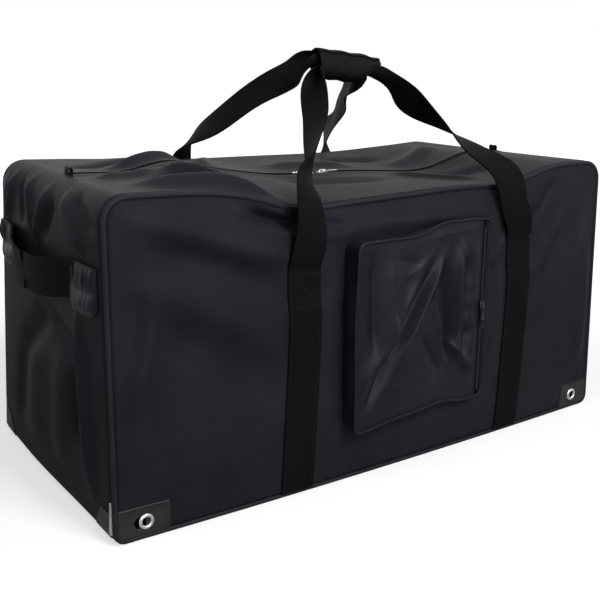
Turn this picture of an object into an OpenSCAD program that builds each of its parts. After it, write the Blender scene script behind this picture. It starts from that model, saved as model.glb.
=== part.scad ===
// Hockey equipment bag: a zipped cloth holdall with two carrying handles, an outside
// pocket and a lifting handle at each end. It stands on its bottom panel at z = 0,
// with its length along X and its front face towards -Y.

/* [Bag] */
// Length of the bag along its base
bag_length = 944; // [800:1:1100]
// Width of the bag from the front seam to the back seam
bag_width = 452; // [360:1:560]
// Height of the bag without its handles
bag_height = 455; // [420:1:560]
// How far each end leans inwards at the top
end_lean = 18; // [0:1:40]
// How far the zip sags in the middle of the top
top_sag = 22; // [0:1:40]
// How far the front seam sags at most
front_sag = 34; // [0:1:40]
// How far the back seam sags at most
back_sag = 12; // [0:1:40]
// How far the widest stretch of a panel swells between its seams and straps
panel_swell = 14; // [0:1:25]
// Radius of the corners of the front and back panels
corner_radius = 35; // [25:1:60]
// Thickness of the lined cloth
cloth = 3; // [2:0.5:5]
// Diameter of the corded piping along the panel seams
piping_d = 7; // [6:0.5:10]
// Clearance left between two pieces at a seam or a joint
seam_gap = 0.3; // [0.2:0.05:0.5]

/* [Carrying handles] */
// Width of the webbing
webbing_w = 54; // [40:1:64]
// Thickness of the webbing
webbing_t = 2.5; // [1.5:0.25:4]
// Distance between the centre lines of the two straps on a panel
strap_spacing = 430; // [380:1:520]
// How far the handles and the pocket sit to the right of the middle
carry_offset = 30; // [-40:1:40]
// Height at which the sewn part of a strap ends and the handle runs free
stitch_top = 335; // [300:1:380]
// How far the grip rests to the right of the middle between the straps
grip_shift = 17; // [-30:1:40]
// Height of the middle of the grip above the top of the bag
grip_rise = 153; // [110:1:190]
// How far the grip rests in front of the middle of the bag
grip_forward = 20; // [-30:1:40]
// Length of the wrapped grip
grip_length = 126; // [100:1:170]
// Thickness of the grip wrap
grip_wall = 3; // [2:0.5:5]
// Diameter of the folded webbing inside the grip
core_d = 16; // [12:0.5:22]
// Clearance between the folded webbing and the grip wrap
grip_clearance = 0.5; // [0.3:0.1:0.9]
// Tilt of the pair of folded webbings inside the grip, in degrees
core_tilt = 30; // [0:1:40]

/* [End handles] */
// Height of the middle of the end handles
end_handle_z = 338; // [260:1:350]
// Distance between the two lines on which an end handle turns free of its tabs
end_handle_span = 300; // [240:1:330]
// How far the middle of an end handle stands off the end panel
end_handle_reach = 27; // [26:1:40]
// Diameter of the gathered webbing where an end handle is sewn down
gather_d = 7; // [5:0.5:9]
// How far a sewn tab reaches in under the end of its handle
tab_lap = 12; // [8:1:20]

/* [Zips] */
// Width of cloth-free zip tape on each side of the main zip
zip_margin = 12; // [10:0.5:16]
// Thickness of the zip tapes
tape_t = 1.2; // [0.8:0.1:1.6]
// Width of one half of a zip coil
coil_w = 2.4; // [2:0.1:3]
// Height of a zip coil
coil_h = 2.8; // [2.2:0.1:3.4]
// Length of a zip slider
slider_l = 20; // [18:1:26]
// Width of a zip slider
slider_w = 11; // [10:0.5:13]
// Thickness of the plates of a zip slider
slider_t = 1.5; // [1.2:0.1:2]
// Distance from the middle of the zip to the centre of each main slider
slider_rest = 15; // [14:0.5:24]
// Length of the flat part of a zip pull
pull_l = 24; // [18:1:32]
// Width of a zip pull
pull_w = 8; // [7:0.5:10]
// Thickness of a zip pull
pull_t = 1.6; // [1.2:0.1:2]
// Diameter of the bar on which a zip pull turns
pivot_d = 2; // [1.6:0.1:2.4]
// Width of the cloth tab at each end of the main zip
zip_tab_w = 14; // [10:1:20]
// Height of the cloth tab at each end of the main zip
zip_tab_h = 12; // [8:1:18]

/* [Pocket] */
// Width of the pocket
pocket_w = 280; // [220:1:300]
// Height of the pocket
pocket_h = 285; // [220:1:300]
// Height of the bottom of the pocket above the base
pocket_z = 85; // [70:1:110]
// Depth of the pocket on its left side
pocket_depth_left = 40; // [30:1:55]
// Depth of the pocket on its right side
pocket_depth_right = 24; // [20:1:40]
// Thickness of the pocket cloth
pocket_cloth = 2; // [1.5:0.25:3]
// Diameter of the pocket's piping
pocket_piping_d = 5; // [4:0.5:7]
// Corner radius of the pocket's face
pocket_radius = 14; // [10:1:24]
// Width of zip tape on each side of the pocket zip
pocket_zip_margin = 9; // [8:0.5:12]
// Height of the pocket slider above the bottom of the pocket
pocket_slider_z = 150; // [60:1:180]

/* [Corners] */
// Length of a corner patch
patch_w = 80; // [70:1:110]
// Height of a corner patch
patch_h = 48; // [44:1:70]
// How far a corner patch stands proud of the panel
patch_proud = 1; // [0.5:0.1:1.5]
// Outer diameter of an eyelet
eyelet_d = 22; // [18:0.5:26]
// Diameter of the hole through an eyelet
eyelet_bore = 12; // [8:0.5:13]
// Thickness of an eyelet's flange
eyelet_flange = 1.2; // [0.8:0.1:1.6]
// Thickness of an eyelet's barrel
eyelet_wall = 1; // [0.6:0.1:1.4]
// Distance from the end of the bag to an eyelet
eyelet_inset = 46; // [42:1:56]
// Height of an eyelet above the base
eyelet_z = 25; // [22:1:28]

/* [Hidden] */
$fn = 48;

// Colours of the finishes
cloth_black = [0.10, 0.10, 0.11];
webbing_black = [0.06, 0.06, 0.065];
coated_grey = [0.20, 0.20, 0.21];
zip_black = [0.04, 0.04, 0.045];
nickel = [0.78, 0.78, 0.80];

// Numbers of steps in round and swept shapes
arc_steps = 8;
panel_rows = 8;
leg_steps = 8;
section_sides = 8;

// The ends lean by this angle, which stretches what is measured square to them
lean_angle = atan2(end_lean, bag_height);
lean_stretch = 1 / cos(lean_angle);

// Seams: the panels stand inside the piping, and the band round the bag behind it
piping_r = piping_d / 2;
piping_inset = piping_r + seam_gap;
panel_inset = piping_d + 2 * seam_gap;
panel_y = bag_width / 2 - piping_r;
face_y = panel_y + cloth / 2;
band_y = bag_width / 2 - piping_d - seam_gap;

// Corner centres of the panels, on the right-hand side
low_corner = [side_x(corner_radius, corner_radius), corner_radius];
high_corner = [side_x(bag_height - corner_radius, corner_radius), bag_height - corner_radius];

// Slack of the front seam, the zip and the back seam: places along the top as a share of its
// half length, and the share of the full sag there
front_slack = [[-1, 0], [-0.8, 0.08], [-0.45, 1], [0.6, 0.78], [0.8, 0.15], [1, 0]];
zip_slack = [[-1, 0], [-0.5, 0], [-0.17, 1], [0.12, 1], [0.5, 1.35], [1, 0]];
back_slack = [[-1, 0], [-0.4, 0.9], [0.5, 1], [1, 0]];

// Edges of the two straps, from left to right
strap_edges = [for (end = [-1, 1], side = [-1, 1])
                  strap_x(end) + side * (webbing_w / 2 + seam_gap)];

// Places along the top at which its slack is drawn: the straps' edges, and steps between them
top_columns = concat(steps(-high_corner.x, strap_edges[0], 7), [strap_edges[0]],
                     steps(strap_edges[1], strap_edges[2], 10), [strap_edges[2]],
                     steps(strap_edges[3], high_corner.x, 6), [high_corner.x]);

// Stretches of a panel that swell: outside the straps, and between them on the back
outer_zones = [[-bag_length / 2 + panel_inset, strap_edges[0]],
               [strap_edges[3], bag_length / 2 - panel_inset]];
middle_zone = [strap_edges[1], strap_edges[2]];

// Carrying handles
knee_rise = 4;
knee_z = bag_height + knee_rise;
leg_y = bag_width / 2 + seam_gap;
core_r = core_d / 2;
core_step = core_r + seam_gap;
core_dy = core_step * cos(core_tilt);
core_dz = core_step * sin(core_tilt);
core_overhang = 6;
grip_centre = [carry_offset + grip_shift, -grip_forward, bag_height + grip_rise];
wrap_in_y = core_dy + core_r + grip_clearance;
wrap_in_z = core_dz + core_r + grip_clearance;

// End handles: height of the turning line off the cloth
end_pivot = webbing_t + gather_d / 2 + seam_gap;

// Zips
zip_z = bag_height - top_sag - cloth / 2;
plate_gap = coil_h / 2 + seam_gap;
slider_top = plate_gap + slider_t;
crown_t = 2;
crown_bar = 1.3;
crown_l = 12;
pivot_z = slider_top + seam_gap + pivot_d / 2;
crown_h = pivot_z + pivot_d / 2 + seam_gap + crown_bar - slider_top;
arm_t = 1.3;
arm_l = crown_l / 2 + 3;
diamond_l = 5;
diamond_w = 3;
flange_t = 1.2;
coil_break = 1;
zip_tab_t = 3;

// Pocket
pocket_left = carry_offset - pocket_w / 2;
pocket_tilt = atan2(pocket_depth_left - pocket_depth_right, pocket_w);
pocket_face_w = pocket_w / cos(pocket_tilt);
pocket_piping_r = pocket_piping_d / 2;
pocket_rim = pocket_piping_d + seam_gap;
pocket_face_inset = pocket_piping_d + seam_gap;
pocket_zip_x = pocket_face_w - pocket_face_inset - pocket_zip_margin;
pocket_zip_from = pocket_radius;
pocket_zip_to = pocket_h - pocket_radius;

// Corners: the panels swell above the patches only
panel_foot = patch_h + seam_gap;
patch_t = cloth + patch_proud;
patch_y = panel_y - cloth / 2 + patch_t / 2;
eyelet_x = bag_length / 2 - eyelet_inset;
eyelet_half = patch_t / 2 + eyelet_flange;
barrel_r = eyelet_bore / 2 + eyelet_wall;

// X of the leaning end at a height, moved inwards by an inset
function side_x(z, inset) =
    bag_length / 2 - inset * lean_stretch - z * end_lean / bag_height;

function unit(v) = v / norm(v);

function mix(a, b, share) = a * (1 - share) + b * share;

// Points along an arc
function arc(centre, radius, from, to) =
    [for (i = [0 : arc_steps])
        let (a = from + (to - from) * i / arc_steps)
        centre + radius * [cos(a), sin(a)]];

function flipped(p) = [-p.x, p.y];

function eased(share) =
    let (s = max(0, min(1, share)))
    s * s * (3 - 2 * s);

// Even steps from one place to another, without the last
function steps(from, to, count) = [for (i = [0 : count - 1]) mix(from, to, i / count)];

function reversed(list) = [for (i = [len(list) - 1 : -1 : 0]) list[i]];

// Value at a place on a smooth line through rows of place and value
function smooth_line(rows, at) =
    let (i = max([for (k = [0 : len(rows) - 2]) if (at >= rows[k].x) k]))
    mix(rows[i].y, rows[i + 1].y, eased((at - rows[i].x) / (rows[i + 1].x - rows[i].x)));

// Depth of the slack at a place along the top, on the front seam (-1), the zip (0) or the
// back seam (1)
function drop(side, x) =
    let (at = max(-1, min(1, x / high_corner.x)))
    side < 0 ? front_sag * smooth_line(front_slack, at)
    : side > 0 ? back_sag * smooth_line(back_slack, at)
    : top_sag * smooth_line(zip_slack, at);

// Places from left to right at which the top is drawn between two ends
function columns_between(from, to) =
    concat([from], [for (x = top_columns) if (x > from && x < to) x], [to]);

// Points along the slack top at a depth below its surface, from left to right
function top_line(from, to, depth, side) =
    [for (x = columns_between(from, to)) [x, bag_height - depth - drop(side, x)]];

// Strip along the zip between two depths below the top's surface
function zip_strip(from, to, upper, lower) =
    concat(reversed(top_line(from, to, upper, 0)), top_line(from, to, lower, 0));

// Round-cornered outline of the bag at the front (-1) or the back (1), moved inwards by an inset
function outline(inset, side) =
    let (r = corner_radius - inset,
         top = reversed(top_line(-high_corner.x, high_corner.x, inset, side)))
    concat(arc(low_corner, r, -90, lean_angle),
           arc(high_corner, r, lean_angle, 90),
           [for (p = top) if (abs(p.x) < high_corner.x) p],
           arc(flipped(high_corner), r, 90, 180 - lean_angle),
           arc(flipped(low_corner), r, 180 - lean_angle, 270));

// X of the round-cornered right-hand edge at a height in the lower half
function edge_x(z, inset) =
    z >= corner_radius ? side_x(z, inset)
    : low_corner.x + sqrt(pow(corner_radius - inset, 2) - pow(corner_radius - z, 2));

// Foot and top of each upright line of a panel above its patches, from its left end to its right
function panel_lines(side) =
    let (tops = arc(high_corner, corner_radius - panel_inset, lean_angle, 90),
         spare = edge_x(panel_foot, panel_inset) - tops[0].x,
         right = [for (p = tops) [[p.x + spare, panel_foot], p]])
    concat([for (line = right) [flipped(line[0]), flipped(line[1])]],
           [for (x = top_columns) if (abs(x) < high_corner.x)
               [[x, panel_foot], [x, bag_height - panel_inset - drop(side, x)]]],
           reversed(right));

function arch(share) = share > 0 && share < 1 ? sin(180 * share) : 0;

// How far a panel swells at a place: nothing at its seams, straps and patches
function swell(side, place, top) =
    let (zones = side < 0 ? outer_zones : concat(outer_zones, [middle_zone]),
         widest = middle_zone[1] - middle_zone[0])
    panel_swell * arch((place.y - panel_foot) / (top - panel_foot))
        * max([for (z = zones)
                   min(1, (z[1] - z[0]) / widest) * arch((place.x - z[0]) / (z[1] - z[0]))]);

// Closed ring up the outside of a panel and down its inside
function panel_ring(side, line) =
    let (places = [for (k = [0 : panel_rows]) mix(line[0], line[1], k / panel_rows)],
         out = [for (p = places) face_y + swell(side, p, line[1].y)])
    concat([for (k = [0 : panel_rows]) [places[k].x, side * out[k], places[k].y]],
           [for (k = [panel_rows : -1 : 0]) [places[k].x, side * (out[k] - cloth), places[k].y]]);

// The part of that outline round the right-hand end
function end_line(inset) =
    let (r = corner_radius - inset)
    concat(arc(low_corner, r, -90, lean_angle), arc(high_corner, r, lean_angle, 90));

// Round-cornered rectangle with a corner at the origin, moved inwards by an inset
function round_rectangle(w, h, radius, inset) =
    let (r = radius - inset)
    concat(arc([w - radius, radius], r, -90, 0),
           arc([w - radius, h - radius], r, 0, 90),
           arc([radius, h - radius], r, 90, 180),
           arc([radius, radius], r, 180, 270));

// Section of webbing or cord with cut corners, its flats at the given width and thickness
function section(centre, across, through, width, thickness) =
    let (reach = 0.5 / cos(180 / section_sides))
    [for (i = [0 : section_sides - 1])
        let (a = (i + 0.5) * 360 / section_sides)
        centre + across * width * reach * cos(a) + through * thickness * reach * sin(a)];

// Triangles that join rows of points into a closed skin
function skin(rows, around, closed) =
    let (last = closed ? rows - 1 : rows - 2)
    concat([for (i = [0 : last], j = [0 : around - 1])
                let (a = i * around + j,
                     b = i * around + (j + 1) % around,
                     c = ((i + 1) % rows) * around + (j + 1) % around,
                     d = ((i + 1) % rows) * around + j)
                each [[a, d, b], [b, d, c]]],
           closed ? [] : [[for (j = [0 : around - 1]) j],
                          [for (j = [around - 1 : -1 : 0]) (rows - 1) * around + j]]);

module swept(sections, closed = false) {
    around = len(sections[0]);
    polyhedron(points = [for (s = sections) each s], faces = skin(len(sections), around, closed));
}

// Round cord along a closed outline that lies upright in the XZ plane
module upright_cord(line, radius) {
    n = len(line);
    swept([for (i = [0 : n - 1])
               let (before = line[(i + n - 1) % n],
                    after = line[(i + 1) % n],
                    d = unit(after - before),
                    along = [d.x, 0, d.y],
                    across = [0, 1, 0])
               section([line[i].x, 0, line[i].y], across, cross(along, across),
                       2 * radius, 2 * radius)],
          closed = true);
}

// Flat outline in the XZ plane, given a thickness across Y
module upright(thickness) {
    rotate([90, 0, 0])
        linear_extrude(height = thickness, center = true)
            children();
}

// Box between two corners
module block(from, to) {
    translate(from)
        cube(to - from);
}

// Corner of a panel that a patch takes up
module patch_area(end) {
    translate([end * (bag_length / 2 - patch_w / 2), 0, patch_h / 2])
        cube([patch_w, 2 * bag_width, patch_h], center = true);
}

// Front or back panel: a swelling sheet, with a plain foot between the corner patches
module panel(side) {
    lines = side > 0 ? panel_lines(side) : reversed(panel_lines(side));
    foot_half = bag_length / 2 - patch_w - seam_gap;
    swept([for (line = lines) panel_ring(side, line)]);
    translate([0, side * panel_y, (panel_inset + panel_foot) / 2])
        cube([2 * foot_half, cloth, panel_foot - panel_inset], center = true);
}

module front_panel() {
    color(cloth_black) panel(-1);
}

module back_panel() {
    color(cloth_black) panel(1);
}

// End of the band: the leaning end with its two rounded corners
module end_panel() {
    outer = end_line(0);
    inner = end_line(cloth);
    n = len(inner);
    upright(2 * band_y)
        polygon(concat(outer, [for (i = [n - 1 : -1 : 0]) inner[i]]));
}

module right_end_panel() {
    color(cloth_black) end_panel();
}

module left_end_panel() {
    color(cloth_black) mirror([1, 0, 0]) end_panel();
}

module bottom_panel() {
    half = low_corner.x - seam_gap;
    color(cloth_black) block([-half, -band_y, 0], [half, band_y, cloth]);
}

// One half of the top, sloping from the panel seam to the zip
module flap(side) {
    half = high_corner.x - seam_gap;
    columns = columns_between(-half, half);
    down = [0, 0, cloth];
    swept([for (x = side > 0 ? columns : reversed(columns))
               let (seam = [x, side * band_y, bag_height - drop(side, x)],
                    mouth = [x, side * zip_margin, bag_height - drop(0, x)])
               [seam, mouth, mouth - down, seam - down]]);
}

module top_front_flap() {
    color(cloth_black) flap(-1);
}

module top_back_flap() {
    color(cloth_black) flap(1);
}

module front_piping() {
    color(cloth_black) translate([0, -panel_y, 0]) upright_cord(outline(piping_inset, -1), piping_r);
}

module back_piping() {
    color(cloth_black) translate([0, panel_y, 0]) upright_cord(outline(piping_inset, 1), piping_r);
}

// Coated patch that makes up a lower corner of a panel
module corner_patch(end, side) {
    color(coated_grey) difference() {
        intersection() {
            translate([0, side * patch_y, 0])
                upright(patch_t)
                    polygon(outline(panel_inset, side));
            patch_area(end);
        }
        translate([end * eyelet_x, side * patch_y, eyelet_z])
            rotate([90, 0, 0])
                cylinder(r = barrel_r + seam_gap / 3, h = 2 * patch_t, center = true);
    }
}

module front_left_patch() {
    corner_patch(-1, -1);
}

module front_right_patch() {
    corner_patch(1, -1);
}

module back_left_patch() {
    corner_patch(-1, 1);
}

module back_right_patch() {
    corner_patch(1, 1);
}

// Pressed eyelet: a barrel through the patch with a flange on each face
module eyelet() {
    bore_r = eyelet_bore / 2;
    flange_r = eyelet_d / 2;
    inner = eyelet_half - eyelet_flange;
    rotate([90, 0, 0])
        rotate_extrude()
            polygon([[bore_r, -eyelet_half], [flange_r, -eyelet_half], [flange_r, -inner],
                     [barrel_r, -inner], [barrel_r, inner], [flange_r, inner],
                     [flange_r, eyelet_half], [bore_r, eyelet_half]]);
}

module eyelets() {
    color(nickel)
        for (end = [-1, 1], side = [-1, 1])
            translate([end * eyelet_x, side * patch_y, eyelet_z])
                eyelet();
}

// X of the centre line of a strap
function strap_x(end) = carry_offset + end * strap_spacing / 2;

// Sewn part of the webbing, from the lower seam to the box stitch
module strap(end, side) {
    color(webbing_black)
        translate([strap_x(end), side * (face_y + webbing_t / 2), (panel_inset + stitch_top) / 2])
            cube([webbing_w, webbing_t, stitch_top - panel_inset], center = true);
}

module front_left_strap() {
    strap(-1, -1);
}

module front_right_strap() {
    strap(1, -1);
}

module back_left_strap() {
    strap(-1, 1);
}

module back_right_strap() {
    strap(1, 1);
}

// Free webbing between the box stitch and the top edge of the bag
module handle_legs(side) {
    height = knee_z - stitch_top - seam_gap;
    color(webbing_black)
        for (end = [-1, 1])
            translate([strap_x(end), side * (leg_y + webbing_t / 2), knee_z - height / 2])
                cube([webbing_w, webbing_t, height], center = true);
}

module front_handle_legs() {
    handle_legs(-1);
}

module back_handle_legs() {
    handle_legs(1);
}

// Middle of the folded webbing of one handle inside the grip
function core_centre(side) = grip_centre + side * [0, core_dy, core_dz];

// Webbing that rises from the top edge of the bag and twists into the grip
module rising_leg(end, side) {
    knee = [strap_x(end), side * leg_y, knee_z];
    target = core_centre(side) + [end * (grip_length / 2 - core_overhang / 2), 0, 0];
    slope = unit([0, target.y - knee.y, target.z - knee.z]);
    start = knee + [0, side * slope.z, -side * slope.y] * webbing_t / 2 + slope * seam_gap;
    along = unit(target - start);
    upright_across = unit([0, 0, 1] - along * along.z);
    swept([for (i = [0 : leg_steps])
               let (share = i / leg_steps,
                    across = unit(mix([1, 0, 0], upright_across, share * share)),
                    through = unit(cross(along, across)))
               section(mix(start, target, share), across, through,
                       mix(webbing_w, core_d * 0.8, share), mix(webbing_t, core_d / 3, share))]);
}

module handle_loop(side) {
    color(webbing_black) union() {
        for (end = [-1, 1])
            rising_leg(end, side);
        translate(core_centre(side))
            rotate([0, 90, 0])
                cylinder(r = core_r, h = grip_length, center = true);
    }
}

module front_handle_loop() {
    handle_loop(-1);
}

module back_handle_loop() {
    handle_loop(1);
}

// Profile across the grip, run along its length
module along_grip() {
    translate(grip_centre)
        rotate([90, 0, 90])
            linear_extrude(height = grip_length - 2 * core_overhang, center = true)
                children();
}

// Front and underside of the grip wrap
module grip_wrap() {
    y = wrap_in_y;
    z = wrap_in_z;
    w = grip_wall;
    color(cloth_black) along_grip()
        polygon([[-y - w, -z - w], [y - seam_gap, -z - w], [y - seam_gap, -z], [-y, -z],
                 [-y, z - seam_gap], [-y - w, z - seam_gap]]);
}

// Top and back of the grip wrap, which peels open
module grip_flap() {
    y = wrap_in_y;
    z = wrap_in_z;
    w = grip_wall;
    color(cloth_black) along_grip()
        polygon([[-y - w, z], [y, z], [y, -z - w], [y + w, -z - w], [y + w, z + w],
                 [-y - w, z + w]]);
}

// Moves a piece onto the right-hand end panel: x off the cloth, z up along it
module on_end() {
    translate([side_x(end_handle_z, 0), 0, end_handle_z])
        rotate([0, -lean_angle, 0])
            children();
}

// Webbing tabs sewn to the end panel, from under the ends of its handle to the seams
module handle_tabs() {
    from = end_handle_span / 2 - tab_lap;
    color(webbing_black) on_end()
        for (side = [-1, 1])
            translate([webbing_t / 2, side * (from + band_y) / 2, 0])
                cube([webbing_t, band_y - from, webbing_w], center = true);
}

module right_handle_tabs() {
    handle_tabs();
}

module left_handle_tabs() {
    mirror([1, 0, 0]) handle_tabs();
}

// Bowed webbing handle whose gathered ends turn on the sewn tabs
module end_handle() {
    // Share of the half span, stand-off, width and thickness of each section
    bow = [[1, end_pivot, gather_d, gather_d],
           [0.9, end_pivot + 1, gather_d, gather_d],
           [0.7, end_handle_reach - 8, webbing_w * 0.55, webbing_t + 1],
           [0.48, end_handle_reach - 2, webbing_w, webbing_t],
           [0.24, end_handle_reach - 0.5, webbing_w, webbing_t],
           [0, end_handle_reach, webbing_w, webbing_t]];
    n = len(bow);
    half = [for (b = bow) [b[1], -b[0] * end_handle_span / 2, b[2], b[3]]];
    path = concat(half, [for (i = [n - 2 : -1 : 0]) [half[i][0], -half[i][1], half[i][2], half[i][3]]]);
    last = len(path) - 1;
    color(webbing_black) on_end()
        swept([for (i = [0 : last])
                   let (before = path[max(i - 1, 0)],
                        after = path[min(i + 1, last)],
                        along = unit([after[0] - before[0], after[1] - before[1], 0]),
                        across = [0, 0, 1])
                   section([path[i][0], path[i][1], 0], across, cross(along, across),
                           path[i][2], path[i][3])]);
}

module right_end_handle() {
    end_handle();
}

module left_end_handle() {
    mirror([1, 0, 0]) end_handle();
}

// Zip tape between the edge of a top flap and the coil
module zip_tape(side) {
    half = high_corner.x - seam_gap;
    width = zip_margin - coil_w - seam_gap / 2;
    color(zip_black)
        translate([0, side * (zip_margin - width / 2), 0])
            upright(width)
                polygon(zip_strip(-half, half, (cloth - tape_t) / 2, (cloth + tape_t) / 2));
}

module zip_tape_front() {
    zip_tape(-1);
}

module zip_tape_back() {
    zip_tape(1);
}

// One half of the main coil, parted where the two sliders hold it open
module zip_coil(side) {
    half = high_corner.x - seam_gap;
    from = slider_rest - slider_l / 2 + diamond_l + coil_break;
    color(zip_black)
        for (end = [-1, 1])
            translate([0, side * (coil_w + seam_gap) / 2, 0])
                upright(coil_w)
                    polygon(zip_strip(min(end * from, end * half), max(end * from, end * half),
                                      (cloth - coil_h) / 2, (cloth + coil_h) / 2));
}

module zip_coil_front() {
    zip_coil(-1);
}

module zip_coil_back() {
    zip_coil(1);
}

// Zip slider on a coil that runs along X, with its crown towards +Z and its parting
// diamond at the +X end
module slider() {
    half_l = slider_l / 2;
    half_w = slider_w / 2;
    lip = tape_t / 2 + seam_gap;
    union() {
        for (way = [-1, 1]) {
            translate([0, 0, way * (plate_gap + slider_t / 2)])
                cube([slider_l, slider_w, slider_t], center = true);
            for (side = [-1, 1])
                translate([0, side * (half_w - flange_t / 2), way * (lip + plate_gap) / 2])
                    cube([slider_l, flange_t, plate_gap - lip], center = true);
        }
        translate([half_l - diamond_l / 2, 0, 0])
            cube([diamond_l, diamond_w, 2 * plate_gap], center = true);
        translate([0, 0, slider_top + crown_h - crown_bar / 2])
            cube([crown_l, crown_t, crown_bar], center = true);
        for (end = [-1, 1])
            translate([end * (crown_l - crown_bar) / 2, 0, slider_top + crown_h / 2])
                cube([crown_bar, crown_t, crown_h], center = true);
    }
}

// Pull that turns in the crown of a slider and lies along -X
module pull() {
    arm_y = crown_t / 2 + seam_gap + arm_t / 2;
    translate([0, 0, pivot_z]) union() {
        rotate([90, 0, 0])
            cylinder(d = pivot_d, h = 2 * arm_y + arm_t, center = true);
        for (side = [-1, 1])
            translate([-arm_l / 2, side * arm_y, 0])
                cube([arm_l, arm_t, pull_t], center = true);
        translate([-arm_l - pull_l / 2, 0, 0])
            cube([pull_l, pull_w, pull_t], center = true);
    }
}

// Moves a slider or pull to its place on the left half of the main zip
module on_main_zip() {
    translate([-slider_rest, 0, zip_z])
        children();
}

module left_zip_slider() {
    color(nickel) on_main_zip() slider();
}

module right_zip_slider() {
    color(nickel) mirror([1, 0, 0]) on_main_zip() slider();
}

module left_zip_pull() {
    color(nickel) on_main_zip() pull();
}

module right_zip_pull() {
    color(nickel) mirror([1, 0, 0]) on_main_zip() pull();
}

// Upright cloth tab where the main zip ends
module zip_tab(end) {
    x = high_corner.x + zip_tab_t;
    color(cloth_black)
        translate([end * x, 0, bag_height + zip_tab_h / 2])
            cube([zip_tab_t, zip_tab_w, zip_tab_h], center = true);
}

module left_zip_tab() {
    zip_tab(-1);
}

module right_zip_tab() {
    zip_tab(1);
}

// Moves a piece onto the pocket's face: x along it, y into the pocket, z up from its foot
module on_pocket() {
    translate([pocket_left, -face_y - pocket_depth_left, pocket_z])
        rotate([0, 0, pocket_tilt])
            children();
}

module pocket_face() {
    w = pocket_zip_x - pocket_zip_margin;
    color(cloth_black) on_pocket()
        translate([0, pocket_piping_r, 0])
            intersection() {
                upright(pocket_cloth)
                    polygon(round_rectangle(pocket_face_w, pocket_h, pocket_radius,
                                            pocket_face_inset));
                block([0, -pocket_cloth, 0], [w, pocket_cloth, pocket_h]);
            }
}

// Four walls of the pocket, from the front panel to the back of the face's rim
module pocket_gusset() {
    right = pocket_left + pocket_w;
    rim_y = pocket_rim / cos(pocket_tilt);
    color(cloth_black) difference() {
        translate([0, 0, pocket_z])
            linear_extrude(height = pocket_h)
                polygon([[pocket_left, -face_y],
                         [pocket_left, -face_y - pocket_depth_left + rim_y],
                         [right, -face_y - pocket_depth_right + rim_y],
                         [right, -face_y]]);
        block([pocket_left + pocket_cloth, -face_y - 2 * pocket_depth_left, pocket_z + pocket_cloth],
              [right - pocket_cloth, 0, pocket_z + pocket_h - pocket_cloth]);
    }
}

module pocket_piping() {
    color(cloth_black) on_pocket()
        translate([0, pocket_piping_r, 0])
            upright_cord(round_rectangle(pocket_face_w, pocket_h, pocket_radius, pocket_piping_r),
                         pocket_piping_r);
}

module pocket_zip_tape() {
    width = pocket_zip_margin - coil_w - seam_gap / 2;
    color(zip_black) on_pocket()
        for (side = [-1, 1])
            translate([pocket_zip_x + side * (pocket_zip_margin - width / 2), pocket_piping_r,
                       (pocket_zip_from + pocket_zip_to) / 2])
                cube([width, tape_t, pocket_zip_to - pocket_zip_from], center = true);
}

// Two halves of the pocket coil, parted where the slider holds them open
module pocket_zip_coil() {
    parting = pocket_slider_z + slider_l / 2 - diamond_l / 2;
    lower = parting - diamond_l / 2 - coil_break;
    upper = parting + diamond_l / 2 + coil_break;
    color(zip_black) on_pocket()
        for (side = [-1, 1], run = [[pocket_zip_from, lower], [upper, pocket_zip_to]])
            translate([pocket_zip_x + side * (coil_w + seam_gap) / 2, pocket_piping_r,
                       (run[0] + run[1]) / 2])
                cube([coil_w, coil_h, run[1] - run[0]], center = true);
}

// Turns a slider or pull to run up the pocket zip with its crown outwards
module on_pocket_zip() {
    on_pocket()
        translate([pocket_zip_x, pocket_piping_r, pocket_slider_z])
            rotate([90, 0, 0])
                rotate([0, 0, 90])
                    children();
}

module pocket_zip_slider() {
    color(nickel) on_pocket_zip() slider();
}

module pocket_zip_pull() {
    color(nickel) on_pocket_zip() pull();
}

front_panel();
back_panel();
left_end_panel();
right_end_panel();
bottom_panel();
top_front_flap();
top_back_flap();
front_piping();
back_piping();
front_left_patch();
front_right_patch();
back_left_patch();
back_right_patch();
eyelets();
front_left_strap();
front_right_strap();
back_left_strap();
back_right_strap();
front_handle_legs();
back_handle_legs();
front_handle_loop();
back_handle_loop();
grip_wrap();
grip_flap();
left_handle_tabs();
right_handle_tabs();
left_end_handle();
right_end_handle();
zip_tape_front();
zip_tape_back();
zip_coil_front();
zip_coil_back();
left_zip_slider();
right_zip_slider();
left_zip_pull();
right_zip_pull();
left_zip_tab();
right_zip_tab();
pocket_face();
pocket_gusset();
pocket_piping();
pocket_zip_tape();
pocket_zip_coil();
pocket_zip_slider();
pocket_zip_pull();
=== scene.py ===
"""Soft model of a zipped equipment bag, sewn round its construction model.

The construction model is the fixed frame: it gives the place and size of every piece. The cloth,
webbing and zips are made here as one slack bag: every sewn piece passes through settle(), which
holds the sag of the top and the spread of the base, so that neighbouring edges meet.
Metres, +Z up, length along X, front face towards -Y.
"""

import math

import bpy
import numpy as np
from mathutils import Matrix, Vector


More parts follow.
